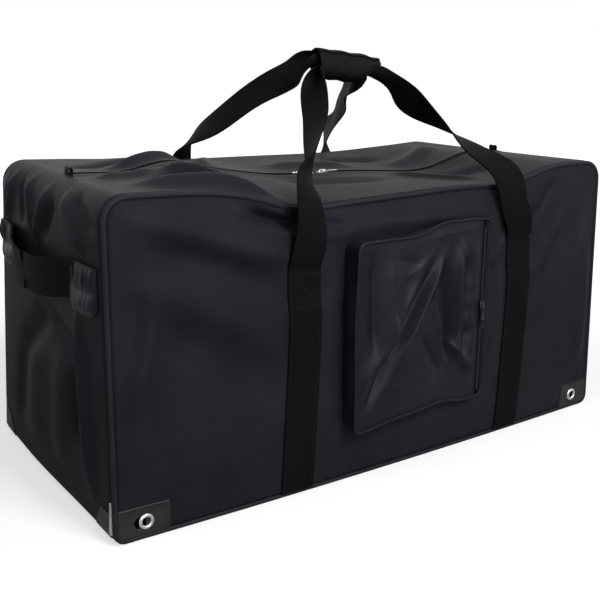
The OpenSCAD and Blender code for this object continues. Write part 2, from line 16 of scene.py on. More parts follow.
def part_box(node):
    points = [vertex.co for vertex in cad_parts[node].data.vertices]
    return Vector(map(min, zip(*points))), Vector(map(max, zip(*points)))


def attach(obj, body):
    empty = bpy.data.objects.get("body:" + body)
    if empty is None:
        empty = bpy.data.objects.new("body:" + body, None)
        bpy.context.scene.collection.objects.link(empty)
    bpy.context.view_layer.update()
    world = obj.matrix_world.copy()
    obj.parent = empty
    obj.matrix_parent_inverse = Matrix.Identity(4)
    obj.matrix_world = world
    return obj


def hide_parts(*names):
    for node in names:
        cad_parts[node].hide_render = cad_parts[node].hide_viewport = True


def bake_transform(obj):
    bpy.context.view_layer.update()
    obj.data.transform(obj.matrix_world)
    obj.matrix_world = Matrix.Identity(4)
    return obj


bl_info = {
    "name": "Equipment bag",
    "version": (1, 0, 0),
    "blender": (4, 5, 0),
    "location": "View3D > Sidebar > Bag",
    "description": "Sews a soft zipped equipment bag round its construction model",
    "category": "Add Mesh",
}

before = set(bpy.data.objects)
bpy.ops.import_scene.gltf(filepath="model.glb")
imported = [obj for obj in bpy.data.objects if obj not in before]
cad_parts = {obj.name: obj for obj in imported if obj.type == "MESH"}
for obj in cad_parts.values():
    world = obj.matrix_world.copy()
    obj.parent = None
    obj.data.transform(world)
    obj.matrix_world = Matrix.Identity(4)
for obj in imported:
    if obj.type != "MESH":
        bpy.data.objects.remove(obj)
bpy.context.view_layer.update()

# Places and sizes taken from the frame
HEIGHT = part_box("right_end_panel")[1].z
BAND_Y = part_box("bottom_panel")[1].y
TOP_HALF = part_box("top_front_flap")[1].x
PIPING_LOW, PIPING_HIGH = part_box("back_piping")
PANEL_Y = (PIPING_LOW.y + PIPING_HIGH.y) / 2
PIPING_R = (PIPING_HIGH.y - PIPING_LOW.y) / 2
STRAP_LOW, STRAP_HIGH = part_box("front_left_strap")
FACE_Y = -STRAP_HIGH.y
WEBBING_W = STRAP_HIGH.x - STRAP_LOW.x
WEBBING_T = STRAP_HIGH.y - STRAP_LOW.y
STITCH_TOP = STRAP_HIGH.z
LEFT_STRAP_X = (STRAP_LOW.x + STRAP_HIGH.x) / 2
RIGHT_STRAP_X = (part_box("front_right_strap")[0].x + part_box("front_right_strap")[1].x) / 2
POCKET_LOW, POCKET_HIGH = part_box("pocket_gusset")
POCKET_W = POCKET_HIGH.x - POCKET_LOW.x
POCKET_H = POCKET_HIGH.z - POCKET_LOW.z
POCKET_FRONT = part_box("pocket_piping")[0].y
PATCH_LOW, PATCH_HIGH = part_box("front_right_patch")
EYELET_LOW, EYELET_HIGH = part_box("eyelets")
GRIP_LOW, GRIP_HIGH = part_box("grip_flap")
GRIP_X = (GRIP_LOW.x + GRIP_HIGH.x) / 2
GRIP_Y = (GRIP_LOW.y + GRIP_HIGH.y) / 2
GRIP_Z = (GRIP_LOW.z + GRIP_HIGH.z) / 2
TAB_LOW, TAB_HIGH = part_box("right_handle_tabs")
END_HANDLE_LOW, END_HANDLE_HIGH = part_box("right_end_handle")
END_Z = (END_HANDLE_LOW.z + END_HANDLE_HIGH.z) / 2
SLIDER_LOW, SLIDER_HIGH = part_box("right_zip_slider")
PULL_LOW, PULL_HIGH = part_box("right_zip_pull")
POCKET_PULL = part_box("pocket_zip_pull")
POCKET_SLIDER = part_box("pocket_zip_slider")

# Shape of the panels
BASE_HALF = 0.472
END_LEAN = 0.018
CORNER_R = 0.035
CORNER_LOW = 0.016
LEAN = math.atan2(END_LEAN, HEIGHT)
SLACK_FROM = 0.35
PANEL_INSET = 0.006
# How far the panels lap under the corner patches
PATCH_LAP = 0.012
# Edge of the ends, base and top, tucked beside the piping
BAND_EDGE = BAND_Y + 0.0012
SEAM_TUCK = 0.003

# Sag of the top below its full height, along the bag: at the front seam, at the zip and at
# the back seam
FRONT_SAG = ((-0.42, 0.0), (-0.33, 0.003), (-0.25, 0.015), (-0.185, 0.034), (-0.12, 0.036),
             (0.02, 0.031), (0.17, 0.027), (0.25, 0.025), (0.33, 0.006), (0.42, 0.0))
ZIP_SAG = ((-0.42, 0.0010), (-0.38, 0.0018), (-0.34, 0.0024), (-0.27, -0.010), (-0.215, 0.0),
           (-0.15, 0.012), (-0.07, 0.0215), (-0.02, 0.022), (0.02, 0.022), (0.10, 0.0245),
           (0.19, 0.030), (0.26, 0.028), (0.325, 0.0105), (0.355, 0.0034), (0.38, 0.0018),
           (0.42, 0.0010))
BACK_SAG = ((-0.42, 0.0), (-0.30, 0.004), (-0.18, 0.010), (0.0, 0.012), (0.20, 0.012),
            (0.32, 0.006), (0.42, 0.0))

# Soft folds: from, to, half width and height off the cloth, in the panel's own two directions
FRONT_FOLDS = (
    ((-0.398, 0.330), (-0.455, 0.070), 0.016, 0.011),
    ((-0.420, 0.330), (-0.428, 0.240), 0.012, -0.005),
    ((-0.415, 0.425), (-0.200, 0.350), 0.022, 0.013),
    ((-0.385, 0.385), (-0.215, 0.312), 0.022, -0.009),
    ((-0.405, 0.345), (-0.205, 0.225), 0.030, 0.012),
    ((-0.370, 0.275), (-0.230, 0.165), 0.028, -0.006),
    ((-0.265, 0.430), (-0.178, 0.424), 0.014, -0.024),
    ((-0.285, 0.440), (-0.205, 0.398), 0.009, 0.007),
    ((-0.145, 0.425), (-0.100, 0.405), 0.014, -0.008),
    ((0.284, 0.260), (0.345, 0.375), 0.014, 0.007),
    ((0.305, 0.250), (0.370, 0.365), 0.013, -0.004),
    ((0.315, 0.190), (0.410, 0.350), 0.020, 0.008),
    ((0.285, 0.360), (0.330, 0.425), 0.010, -0.008),
    ((0.185, 0.300), (0.225, 0.345), 0.010, 0.006),
    ((0.195, 0.160), (0.212, 0.270), 0.010, 0.005),
    ((-0.060, 0.415), (0.120, 0.395), 0.020, 0.006),
    ((0.430, 0.100), (0.440, 0.300), 0.018, 0.008),
)
BACK_FOLDS = (
    ((-0.40, 0.35), (-0.45, 0.08), 0.022, 0.008),
    ((-0.40, 0.40), (-0.20, 0.33), 0.030, 0.008),
    ((0.42, 0.38), (0.27, 0.30), 0.030, 0.008),
    ((0.44, 0.30), (0.45, 0.08), 0.022, 0.007),
    ((-0.15, 0.40), (0.20, 0.28), 0.045, 0.008),
    ((-0.12, 0.25), (0.18, 0.12), 0.050, 0.007),
    ((-0.25, 0.42), (-0.18, 0.41), 0.018, -0.012),
    ((0.24, 0.42), (0.30, 0.41), 0.018, -0.012),
)
LEFT_FOLDS = (
    ((-0.143, 0.290), (-0.170, 0.050), 0.012, 0.011),
    ((-0.130, 0.228), (-0.010, 0.262), 0.020, -0.013),
    ((-0.010, 0.262), (0.105, 0.180), 0.022, -0.012),
    ((0.105, 0.180), (0.125, 0.060), 0.022, -0.008),
    ((-0.128, 0.225), (-0.125, 0.110), 0.016, -0.010),
    ((-0.075, 0.215), (-0.060, 0.060), 0.030, 0.009),
    ((0.030, 0.200), (0.040, 0.050), 0.040, 0.008),
    ((-0.020, 0.435), (0.025, 0.365), 0.012, 0.011),
    ((-0.045, 0.425), (-0.010, 0.375), 0.010, -0.006),
    ((-0.090, 0.435), (-0.170, 0.380), 0.014, 0.009),
    ((-0.130, 0.440), (-0.200, 0.410), 0.009, -0.006),
    ((0.080, 0.440), (0.045, 0.370), 0.010, 0.008),
    ((0.120, 0.440), (0.100, 0.375), 0.009, -0.006),
    ((0.150, 0.440), (0.175, 0.365), 0.010, 0.009),
    ((0.190, 0.430), (0.195, 0.330), 0.010, 0.006),
)
RIGHT_FOLDS = (
    ((-0.16, 0.30), (-0.14, 0.07), 0.024, 0.012),
    ((0.16, 0.30), (0.13, 0.07), 0.024, 0.012),
    ((-0.10, 0.265), (0.10, 0.268), 0.028, -0.008),
    ((0.0, 0.22), (0.01, 0.04), 0.060, 0.010),
    ((-0.08, 0.43), (-0.04, 0.37), 0.015, 0.008),
    ((0.09, 0.43), (0.05, 0.37), 0.014, 0.008),
)
TOP_FOLDS = (
    ((-0.375, -0.145), (-0.200, -0.190), 0.017, 0.014),
    ((-0.330, -0.085), (-0.215, -0.130), 0.013, -0.010),
    ((-0.400, -0.060), (-0.310, -0.030), 0.012, 0.008),
    ((-0.300, -0.045), (-0.240, -0.120), 0.012, 0.010),
    ((-0.225, -0.020), (-0.195, -0.110), 0.013, -0.008),
    ((-0.340, 0.045), (-0.220, 0.080), 0.016, 0.012),
    ((-0.390, 0.090), (-0.250, 0.140), 0.015, -0.008),
    ((-0.190, 0.060), (-0.120, 0.170), 0.018, 0.008),
    ((-0.100, -0.060), (0.080, -0.095), 0.024, -0.006),
    ((-0.040, 0.090), (0.120, 0.065), 0.020, 0.008),
    ((0.130, -0.040), (0.240, -0.150), 0.016, 0.008),
    ((0.200, -0.050), (0.340, -0.120), 0.018, -0.007),
    ((0.220, 0.060), (0.360, 0.120), 0.020, 0.009),
    ((0.120, 0.150), (0.240, 0.130), 0.018, -0.007),
)
POCKET_FOLDS = (
    ((0.146, 0.226), (0.024, 0.036), 0.0115, -0.013),
    ((0.168, 0.238), (0.085, 0.105), 0.0095, 0.009),
    ((0.122, 0.236), (0.010, 0.066), 0.0130, 0.009),
    ((0.178, 0.215), (0.184, 0.066), 0.0120, -0.016),
    ((0.160, 0.150), (0.178, 0.066), 0.0080, 0.007),
    ((0.128, 0.128), (0.166, 0.062), 0.0070, -0.006),
    ((0.203, 0.250), (0.201, 0.105), 0.0110, 0.013),
    ((0.228, 0.226), (0.220, 0.096), 0.0110, -0.016),
    ((0.190, 0.100), (0.250, 0.046), 0.0095, 0.012),
    ((0.240, 0.120), (0.228, 0.066), 0.0100, -0.011),
    ((0.030, 0.262), (0.036, 0.120), 0.0110, -0.007),
    ((0.064, 0.262), (0.066, 0.104), 0.0170, 0.009),
    ((0.074, 0.254), (0.122, 0.238), 0.0080, -0.003),
    ((0.084, 0.224), (0.150, 0.250), 0.0080, 0.003),
    ((0.150, 0.266), (0.240, 0.268), 0.0100, 0.003),
    ((0.070, 0.052), (0.165, 0.050), 0.0140, 0.004),
)


class BagSizes(bpy.types.PropertyGroup):
    """Sizes of the slack cloth that a user would change"""

    panel_bulge: bpy.props.FloatProperty(
        name="Panel bulge", description="How far the front and back panels swell in the middle",
        default=0.009, unit="LENGTH")
    end_bulge: bpy.props.FloatProperty(
        name="End bulge", description="How far the end panels swell in the middle",
        default=0.006, unit="LENGTH")
    base_spread: bpy.props.FloatProperty(
        name="Base spread", description="How far the long lower edges bow outwards",
        default=0.0065, unit="LENGTH")
    top_lean: bpy.props.FloatProperty(
        name="Top lean", description="How far the long upper edges lean inwards",
        default=0.012, unit="LENGTH")
    cloth: bpy.props.FloatProperty(
        name="Cloth", description="Thickness of the lined cloth", default=0.002, unit="LENGTH")
    fullness: bpy.props.FloatProperty(
        name="Fullness", description="Extra cloth cut into each sewn piece, as a share of its length",
        default=0.02, subtype="FACTOR")
    pocket_fullness: bpy.props.FloatProperty(
        name="Pocket fullness", description="Extra cloth cut into the slack face of the pocket",
        default=0.05, subtype="FACTOR")
    fold_depth: bpy.props.FloatProperty(
        name="Fold depth", description="Scale of all soft folds", default=1.0)


class BagColours(bpy.types.PropertyGroup):
    """Colours of the finishes"""

    shell: bpy.props.FloatVectorProperty(
        name="Shell", description="Cloth of the panels", subtype="COLOR", size=3,
        default=(0.0110, 0.0104, 0.0138))
    pocket: bpy.props.FloatVectorProperty(
        name="Pocket", description="Cloth of the pocket", subtype="COLOR", size=3,
        default=(0.0060, 0.0054, 0.0096))
    # Painted shade: the pocket cloth in a second tone, set to the level of its shaded wall
    pocket_wall_shade_level: bpy.props.FloatVectorProperty(
        name="Pocket wall shade level", description="Shaded wall of the pocket", subtype="COLOR", size=3,
        default=(0.0078, 0.0074, 0.0100))
    webbing: bpy.props.FloatVectorProperty(
        name="Webbing", description="Handles and straps", subtype="COLOR", size=3,
        default=(0.0040, 0.0040, 0.0040))
    grip: bpy.props.FloatVectorProperty(
        name="Grip", description="Cloth wrapped round the grip", subtype="COLOR", size=3,
        default=(0.0050, 0.0048, 0.0056))
    patch: bpy.props.FloatVectorProperty(
        name="Patch", description="Coated corner patches", subtype="COLOR", size=3,
        default=(0.0125, 0.0125, 0.0128))
    # Pale grey strip beside each lower corner seam, on the end panels
    pale_corner_strip: bpy.props.FloatVectorProperty(
        name="Pale corner strip", description="Cut edge of the coated cloth", subtype="COLOR", size=3,
        default=(0.30, 0.30, 0.31))
    zip: bpy.props.FloatVectorProperty(
        name="Zip", description="Zip tapes and coils", subtype="COLOR", size=3,
        default=(0.0052, 0.0051, 0.0056))
    pocket_metal: bpy.props.FloatVectorProperty(
        name="Pocket metal", description="Slider and pull of the pocket", subtype="COLOR", size=3,
        default=(0.050, 0.050, 0.052))
    nickel: bpy.props.FloatVectorProperty(
        name="Nickel", description="Eyelets, sliders and pulls", subtype="COLOR", size=3,
        default=(0.62, 0.61, 0.60))


def sizes():
    return bpy.context.scene.bag_sizes


def colours():
    return bpy.context.scene.bag_colours


# Curves and the slack shape of the bag

def ease(share):
    """Smooth step from 0 to 1."""
    share = np.clip(share, 0.0, 1.0)
    return share * share * (3.0 - 2.0 * share)


def spline(knots, values, at):
    """Natural cubic curve through values at the knots, held level past its ends."""
    knots = np.asarray(knots, float)
    values = np.asarray(values, float)
    flat = values.ndim == 1
    values = values.reshape(len(knots), -1)
    step = np.diff(knots)
    slope = np.diff(values, axis=0) / step[:, None]
    system = np.eye(len(knots))
    right = np.zeros_like(values)
    for i in range(1, len(knots) - 1):
        system[i, i - 1:i + 2] = step[i - 1], 2 * (step[i - 1] + step[i]), step[i]
        right[i] = 6 * (slope[i] - slope[i - 1])
    bend = np.linalg.solve(system, right)
    at = np.clip(np.asarray(at, float), knots[0], knots[-1])
    i = np.clip(np.searchsorted(knots, at) - 1, 0, len(knots) - 2)
    width = step[i]
    a = (knots[i + 1] - at) / width
    b = 1 - a
    curve = ((a ** 3 - a) * width ** 2 / 6)[..., None] * bend[i]
    curve = curve + ((b ** 3 - b) * width ** 2 / 6)[..., None] * bend[i + 1]
    curve = curve + a[..., None] * values[i] + b[..., None] * values[i + 1]
    return curve[..., 0] if flat else curve


def along(points, count):
    """Evenly spaced points on a smooth curve through the given points."""
    points = np.asarray(points, float)
    run = np.concatenate(([0.0], np.cumsum(np.linalg.norm(np.diff(points[:, :3], axis=0), axis=1))))
    return spline(run / run[-1], points, np.linspace(0.0, 1.0, count))


def profile(rows, at):
    """Smooth curve through given (place, value) rows."""
    rows = np.asarray(rows)
    return spline(rows[:, 0], rows[:, 1], at)


def top_drop(x, y):
    """How far the slack top hangs below its full height."""
    a = np.clip(y / BAND_Y, -1.25, 1.25)
    return (profile(FRONT_SAG, x) * a * (a - 1) / 2 + profile(ZIP_SAG, x) * (1 - a * a)
            + profile(BACK_SAG, x) * a * (a + 1) / 2)


def settle(x, y, z):
    """Where the slack bag holds a place on the plain bag."""
    slack = ease((z - SLACK_FROM) / (HEIGHT - SLACK_FROM))
    middle = np.clip(1 - (x / (BASE_HALF - CORNER_R)) ** 2, 0.0, 1.0)
    low = np.clip(1 - z / HEIGHT, 0.0, 1.0)
    across = y / BAND_Y
    spread = sizes().base_spread * middle * low - sizes().top_lean * middle * slack ** 2
    corner = ease((-x - 0.22) / 0.22) * ease((0.10 - y) / 0.30)
    tilt = corner * (0.0095 - 0.048 * z)
    return x + tilt, y + across * spread, z - top_drop(x, y) * slack


def folds(rows, a, b, crisp=0.0):
    """Summed height of folds at places a, b of a panel: soft, or partly creased to a crisp line."""
    height = np.zeros_like(a)
    for start, end, width, rise in rows:
        run_a = end[0] - start[0]
        run_b = end[1] - start[1]
        length = math.hypot(run_a, run_b)
        share = ((a - start[0]) * run_a + (b - start[1]) * run_b) / length ** 2
        off = ((a - start[0]) * run_b - (b - start[1]) * run_a) / length
        fade = ease((share + 0.15) / 0.4) * ease((1.15 - share) / 0.4)
        soft = np.exp(-(off / width) ** 2)
        creased = np.exp(0.2 - np.hypot(1.6 * off / width, 0.2))
        height = height + rise * fade * (soft + crisp * (creased - soft))
    return height * sizes().fold_depth


def side_x(z, inset):
    """X of the leaning right-hand end at a height, moved inwards by an inset."""
    return BASE_HALF - inset / math.cos(LEAN) - z * END_LEAN / HEIGHT


def end_line(inset, count):
    """Evenly spaced x, z along the right-hand end, from the base round to the top."""
    low = np.array((side_x(CORNER_LOW, CORNER_LOW), CORNER_LOW))
    high = np.array((side_x(HEIGHT - CORNER_R, CORNER_R), HEIGHT - CORNER_R))
    first = np.linspace(-math.pi / 2, LEAN, 40)
    last = np.linspace(LEAN, math.pi / 2, 40)
    first = low + (CORNER_LOW - inset) * np.column_stack((np.cos(first), np.sin(first)))
    last = high + (CORNER_R - inset) * np.column_stack((np.cos(last), np.sin(last)))
    points = np.concatenate((first, last))
    return even(points, count)


def even(points, count):
    """Points at even spacing along a chain of points."""
    run = np.concatenate(([0.0], np.cumsum(np.linalg.norm(np.diff(points, axis=0), axis=1))))
    at = np.linspace(0.0, run[-1], count)
    return np.column_stack([np.interp(at, run, points[:, i]) for i in range(points.shape[1])])


def outline(inset, count):
    """Evenly spaced x, z round a panel, starting in the middle of its base."""
    right = end_line(inset, 400)
    left = right[::-1] * (-1, 1)
    loop = np.concatenate(([[0.0, inset]], right, left, [[0.0, inset]]))
    return even(loop, count + 1)[:-1]


def strap_lean(z):
    """How far the sewn straps lean along the bag on their way up."""
    return 0.010 * ease(z / 0.28)


def panel_rise(side, x, z):
    """How far a panel stands off its seam line: swelling between the seams, and folds."""
    to_end = BASE_HALF - np.abs(x) - z * END_LEAN / HEIGHT
    edge = np.minimum(np.minimum(to_end, HEIGHT - z), z) - PANEL_INSET
    near = 1 - np.exp(-np.clip(edge, 0, None) / 0.012)
    wide = np.clip(1 - (x / BASE_HALF) ** 4, 0, 1) * np.clip(1 - (2 * z / HEIGHT - 1) ** 4, 0, 1)
    held = np.zeros_like(x)
    plain = np.ones_like(x)
    loose = np.ones_like(x)
    for strap in (LEFT_STRAP_X, RIGHT_STRAP_X):
        beside = np.abs(x - strap_lean(z) - strap)
        pulled = ease((0.060 - beside) / 0.030) * ease((z - 0.265) / 0.04) * ease((0.40 - z) / 0.04)
        loose = loose * (1 - pulled)
        held = held + np.exp(-(beside / 0.055) ** 2)
        plain = plain * (1 - ease((0.042 - beside) / 0.014) * ease((STITCH_TOP + 0.02 - z) / 0.02))
    rows = FRONT_FOLDS if side < 0 else BACK_FOLDS
    swell = sizes().panel_bulge * wide * (1 - 0.85 * held)
    if side < 0:
        covered = ease((x - POCKET_LOW.x + 0.03) / 0.04) * ease((POCKET_HIGH.x + 0.03 - x) / 0.04)
        covered = covered * ease((z - POCKET_LOW.z + 0.03) / 0.04)
        swell = swell * (1 - 0.7 * covered * ease((POCKET_HIGH.z + 0.03 - z) / 0.04))
    patch = ease((BASE_HALF - np.abs(x) - 0.05) / 0.06) + ease((z - 0.03) / 0.05)
    return FACE_Y - PANEL_Y + (0.002 + swell) * near * loose * np.clip(patch, 0, 1) \
        + folds(rows, x, z) * ease(edge / 0.03) * plain


def on_panel(side, x, z, lift=0.0):
    """Place on the front (-1) or back (1) panel, lifted off the cloth."""
    x, y, z = np.broadcast_arrays(*(np.asarray(v, float) for v in (x, side * PANEL_Y, z)))
    rise = panel_rise(side, x, z) + lift
    px, py, pz = settle(x, y, z)
    return np.column_stack((px.ravel(), (py + side * rise).ravel(), pz.ravel()))


def tuck(edge):
    """How far cloth dips into its seam, by its distance from its edge."""
    return SEAM_TUCK * ease((0.006 - edge) / 0.006)


def on_end(side, y, s, lift=0.0):
    """Place on the left (-1) or right (1) end panel: y across it, s the share up its line."""
    line = end_line(0.0, 600)
    share = np.linspace(0, 1, len(line))
    x = np.interp(s, share, line[:, 0])
    z = np.interp(s, share, line[:, 1])
    ahead = np.column_stack((np.gradient(line[:, 0]), np.gradient(line[:, 1])))
    ahead = ahead / np.linalg.norm(ahead, axis=1)[:, None]
    out_x = np.interp(s, share, ahead[:, 1])
    out_z = np.interp(s, share, -ahead[:, 0])
    edge = BAND_EDGE - np.abs(y)
    near = 1 - np.exp(-np.clip(edge, 0, None) / 0.010)
    wide = np.clip(1 - (y / BAND_Y) ** 4, 0, 1) * np.clip(1 - (2 * z / HEIGHT - 1) ** 6, 0, 1)
    rows = LEFT_FOLDS if side < 0 else RIGHT_FOLDS
    rise = sizes().end_bulge * wide * near + folds(rows, y, z) * ease(edge / 0.03) * ease(z / 0.05)
    rise = rise - tuck(edge) + lift
    px, py, pz = settle(side * (x + out_x * rise), y, z + out_z * rise)
    return np.column_stack((px, py, np.maximum(pz, 0.0)))


def on_top(x, y, lift=0.0):
    """Place on the top: its seam valleys, its folds and its hems along the zip."""
    edge = BAND_EDGE - np.abs(y)
    rise = folds(TOP_FOLDS, x, y) * ease(edge / 0.03) * ease((np.abs(y) - 0.004) / 0.03)
    rise = rise * ease((TOP_HALF + 0.02 - np.abs(x)) / 0.06)
    rise = rise - tuck(edge)
    px, py, pz = settle(x, y, np.full_like(x, HEIGHT))
    return np.column_stack((px, py, pz + rise + lift))


# Making and finishing pieces

def fill_mesh(piece, points, faces):
    """Gives a piece a new mesh of the given points and faces."""
    mesh = bpy.data.meshes.new(piece.name)
    mesh.from_pydata(points, [], faces)
    mesh.update()
    piece.data = mesh


def make_active(piece):
    bpy.ops.object.select_all(action="DESELECT")
    piece.select_set(True)
    bpy.context.view_layer.objects.active = piece


def named(name):
    piece = bpy.context.active_object
    piece.name = name
    piece.data.name = name
    return piece


def points_of(piece):
    place = np.empty(len(piece.data.vertices) * 3, np.float32)
    piece.data.vertices.foreach_get("co", place)
    return place.reshape(-1, 3).astype(float)


def set_points(piece, place):
    piece.data.vertices.foreach_set("co", np.asarray(place, np.float32).ravel())
    piece.data.update()


def set_uv(piece, a, b):
    """Lays the piece's UV map out in metres."""
    mesh = piece.data
    corner = np.empty(len(mesh.loops), np.int32)
    mesh.loops.foreach_get("vertex_index", corner)
    layer = mesh.uv_layers.active or mesh.uv_layers.new(name="UVMap")
    layer.data.foreach_set("uv", np.column_stack((a[corner], b[corner])).astype(np.float32).ravel())


def add_grid(name, columns, rows):
    """Flat grid, with the share across and the share along of each of its points."""
    bpy.ops.object.select_all(action="DESELECT")
    bpy.ops.mesh.primitive_grid_add(x_subdivisions=columns, y_subdivisions=rows, size=2)
    piece = named(name)
    place = points_of(piece)
    return piece, (place[:, 0] + 1) / 2, (place[:, 1] + 1) / 2


def apply_modifier(piece, kind, **settings):
    make_active(piece)
    bpy.ops.object.modifier_add(type=kind)
    modifier = piece.modifiers[-1]
    for key, value in settings.items():
        setattr(modifier, key, value)
    bpy.ops.object.modifier_apply(modifier=modifier.name)


def thicken(piece, thickness, outward):
    """Gives a sheet its thickness, inwards from the side that faces outward."""
    place = points_of(piece)
    mesh = piece.data
    normal = np.empty(len(mesh.vertices) * 3, np.float32)
    mesh.vertex_normals.foreach_get("vector", normal)
    normal = normal.reshape(-1, 3)
    facing = (normal * outward(place)).sum()
    if facing < 0:
        make_active(piece)
        bpy.ops.object.mode_set(mode="EDIT")
        bpy.ops.mesh.select_all(action="SELECT")
        bpy.ops.mesh.flip_normals()
        bpy.ops.object.mode_set(mode="OBJECT")
    apply_modifier(piece, "SOLIDIFY", thickness=thickness, offset=-1.0)


def smooth(piece, angle=None):
    make_active(piece)
    if angle is None:
        bpy.ops.object.shade_smooth()
    else:
        bpy.ops.object.shade_smooth_by_angle(angle=math.radians(angle))


def close_skin(piece, capped=True):
    """Joins the seam of a rolled grid, caps its ends and turns its faces outwards."""
    make_active(piece)
    bpy.ops.object.mode_set(mode="EDIT")
    bpy.ops.mesh.select_all(action="SELECT")
    bpy.ops.mesh.remove_doubles(threshold=1e-6)
    if capped:
        bpy.ops.mesh.fill_holes(sides=0)
    bpy.ops.mesh.select_all(action="SELECT")
    bpy.ops.mesh.normals_make_consistent(inside=False)
    bpy.ops.object.mode_set(mode="OBJECT")


def join(name, pieces):
    make_active(pieces[0])
    for piece in pieces:
        piece.select_set(True)
    bpy.ops.object.join()
    return named(name)


def dress(piece, material, nodes=()):
    """Gives a piece its finish and hides the CAD nodes that it stands for."""
    piece.data.materials.clear()
    piece.data.materials.append(material)
    if nodes:
        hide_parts(*nodes)


def tube(name, path, radius, sides, closed=False):
    """Round cord along a path; radius may change along it."""
    path = np.asarray(path, float)
    if closed:
        path = np.concatenate((path, path[:1]))
    rows = len(path) - 1
    piece, u, v = add_grid(name, sides, rows)
    row = np.rint(v * rows).astype(int)
    if closed:
        ahead = np.roll(path[:-1], -1, axis=0) - np.roll(path[:-1], 1, axis=0)
        ahead = np.concatenate((ahead, ahead[:1]))
    else:
        ahead = np.gradient(path, axis=0)
    ahead = ahead / np.linalg.norm(ahead, axis=1)[:, None]
    across = carried(ahead)
    up = np.cross(ahead, across)
    radius = np.broadcast_to(radius, len(path))[row][:, None]
    turn = (u * 2 * math.pi)[:, None]
    place = path[row] + radius * (np.cos(turn) * across[row] + np.sin(turn) * up[row])
    run = np.concatenate(([0.0], np.cumsum(np.linalg.norm(np.diff(path, axis=0), axis=1))))
    set_points(piece, place)
    set_uv(piece, u * 2 * math.pi * float(radius.max()), run[row])
    close_skin(piece, capped=not closed)
    smooth(piece)
    return piece


def carried(ahead):
    """Directions across a path, carried along it without twist."""
    start = np.array((0.0, 1.0, 0.0)) if abs(ahead[0][1]) < 0.9 else np.array((1.0, 0.0, 0.0))
    across = [start]
    for direction in ahead:
        side = across[-1] - direction * np.dot(across[-1], direction)
        across.append(side / np.linalg.norm(side))
    return np.array(across[1:])


def ribbon(name, rows, count, width, thickness, columns=12, first_half=False):
    """Webbing along given rows of place (x, y, z), direction across (x, y, z) and curl.

    Curl is the angle, in radians, into which the width is rolled about the path. The first half
    is cut from the whole path, so that it meets its other half without a kink."""
    table = along(rows, 2 * count - 1 if first_half else count)
    ahead = np.gradient(table[:, :3], axis=0)[:count]
    table = table[:count]
    path = table[:, :3]
    ahead = ahead / np.linalg.norm(ahead, axis=1)[:, None]
    across = table[:, 3:6]
    across = across - ahead * (across * ahead).sum(1)[:, None]
    across = across / np.linalg.norm(across, axis=1)[:, None]
    through = np.cross(ahead, across)
    curl = table[:, 6]
    piece, u, v = add_grid(name, columns, count - 1)
    row = np.rint(v * (count - 1)).astype(int)
    reach = (u - 0.5) * width
    bend = np.where(np.abs(curl[row]) < 1e-3, 1e-3, curl[row]) / width
    side = np.sin(bend * reach) / bend
    lift = (1 - np.cos(bend * reach)) / bend
    place = path[row] + side[:, None] * across[row] + lift[:, None] * through[row]
    run = np.concatenate(([0.0], np.cumsum(np.linalg.norm(np.diff(path, axis=0), axis=1))))
    set_points(piece, place)
    set_uv(piece, reach, run[row])
    apply_modifier(piece, "SOLIDIFY", thickness=thickness, offset=0.0)
    smooth(piece, 50)
    return piece


def stitches(name, lines, pitch=0.0045, thread=0.00045):
    """Rows of thread stitches along lines of (place, outward direction) arrays."""
    bpy.ops.object.select_all(action="DESELECT")
    bpy.ops.mesh.primitive_uv_sphere_add(segments=6, ring_count=4, radius=1.0)
    piece = named(name)
    base = points_of(piece)
    faces = [tuple(face.vertices) for face in piece.data.polygons]
    points = []
    polygons = []
    for line, outward in lines:
        run = np.concatenate(([0.0], np.cumsum(np.linalg.norm(np.diff(line, axis=0), axis=1))))
        for at in np.arange(pitch / 2, run[-1], pitch):
            centre = np.array([np.interp(at, run, line[:, i]) for i in range(3)])
            nearby = np.array([np.interp(at + 0.001, run, line[:, i]) for i in range(3)])
            before = np.array([np.interp(at - 0.001, run, line[:, i]) for i in range(3)])
            ahead = (nearby - before) / np.linalg.norm(nearby - before)
            side = np.cross(ahead, outward)
            side = side / np.linalg.norm(side)
            up = np.cross(side, ahead)
            shape = base * (thread, thread, pitch * 0.38)
            first = len(points) * len(base)
            points.append(centre + shape[:, :1] * side + shape[:, 1:2] * up + shape[:, 2:] * ahead)
            polygons.extend(tuple(first + i for i in face) for face in faces)
    fill_mesh(piece, np.concatenate(points).tolist(), polygons)
    smooth(piece)
    return piece


# Finishes

def new_material(name, colour, roughness, metallic=0.0, specular=0.5, sheen=0.0):
    material = bpy.data.materials.new(name)
    material.use_nodes = True
    shader = material.node_tree.nodes["Principled BSDF"]
    shader.inputs["Base Color"].default_value = (*colour, 1.0)
    shader.inputs["Roughness"].default_value = roughness
    shader.inputs["Metallic"].default_value = metallic
    shader.inputs["Specular IOR Level"].default_value = specular
    shader.inputs["Sheen Weight"].default_value = sheen
    shader.inputs["Sheen Roughness"].default_value = 0.4
    return material, shader


def add_node(material, kind, **inputs):
    node = material.node_tree.nodes.new(kind)
    for key, value in inputs.items():
        node.inputs[key.replace("_", " ")].default_value = value
    return node


def wire(material, start, end):
    material.node_tree.links.new(start, end)


def band_wave(material, source, direction, period):
    """Fine ridges at a real spacing along one direction of the UV map."""
    wave = add_node(material, "ShaderNodeTexWave", Scale=2 * math.pi / (20 * period))
    wave.wave_type = "BANDS"
    wave.bands_direction = direction
    wire(material, source, wave.inputs["Vector"])
    return wave.outputs["Fac"]


def mixed(material, kind, a, b):
    node = material.node_tree.nodes.new("ShaderNodeMath")
    node.operation = kind
    for socket, value in zip(node.inputs, (a, b)):
        if isinstance(value, float):
            socket.default_value = value
        else:
            wire(material, value, socket)
    return node.outputs["Value"]


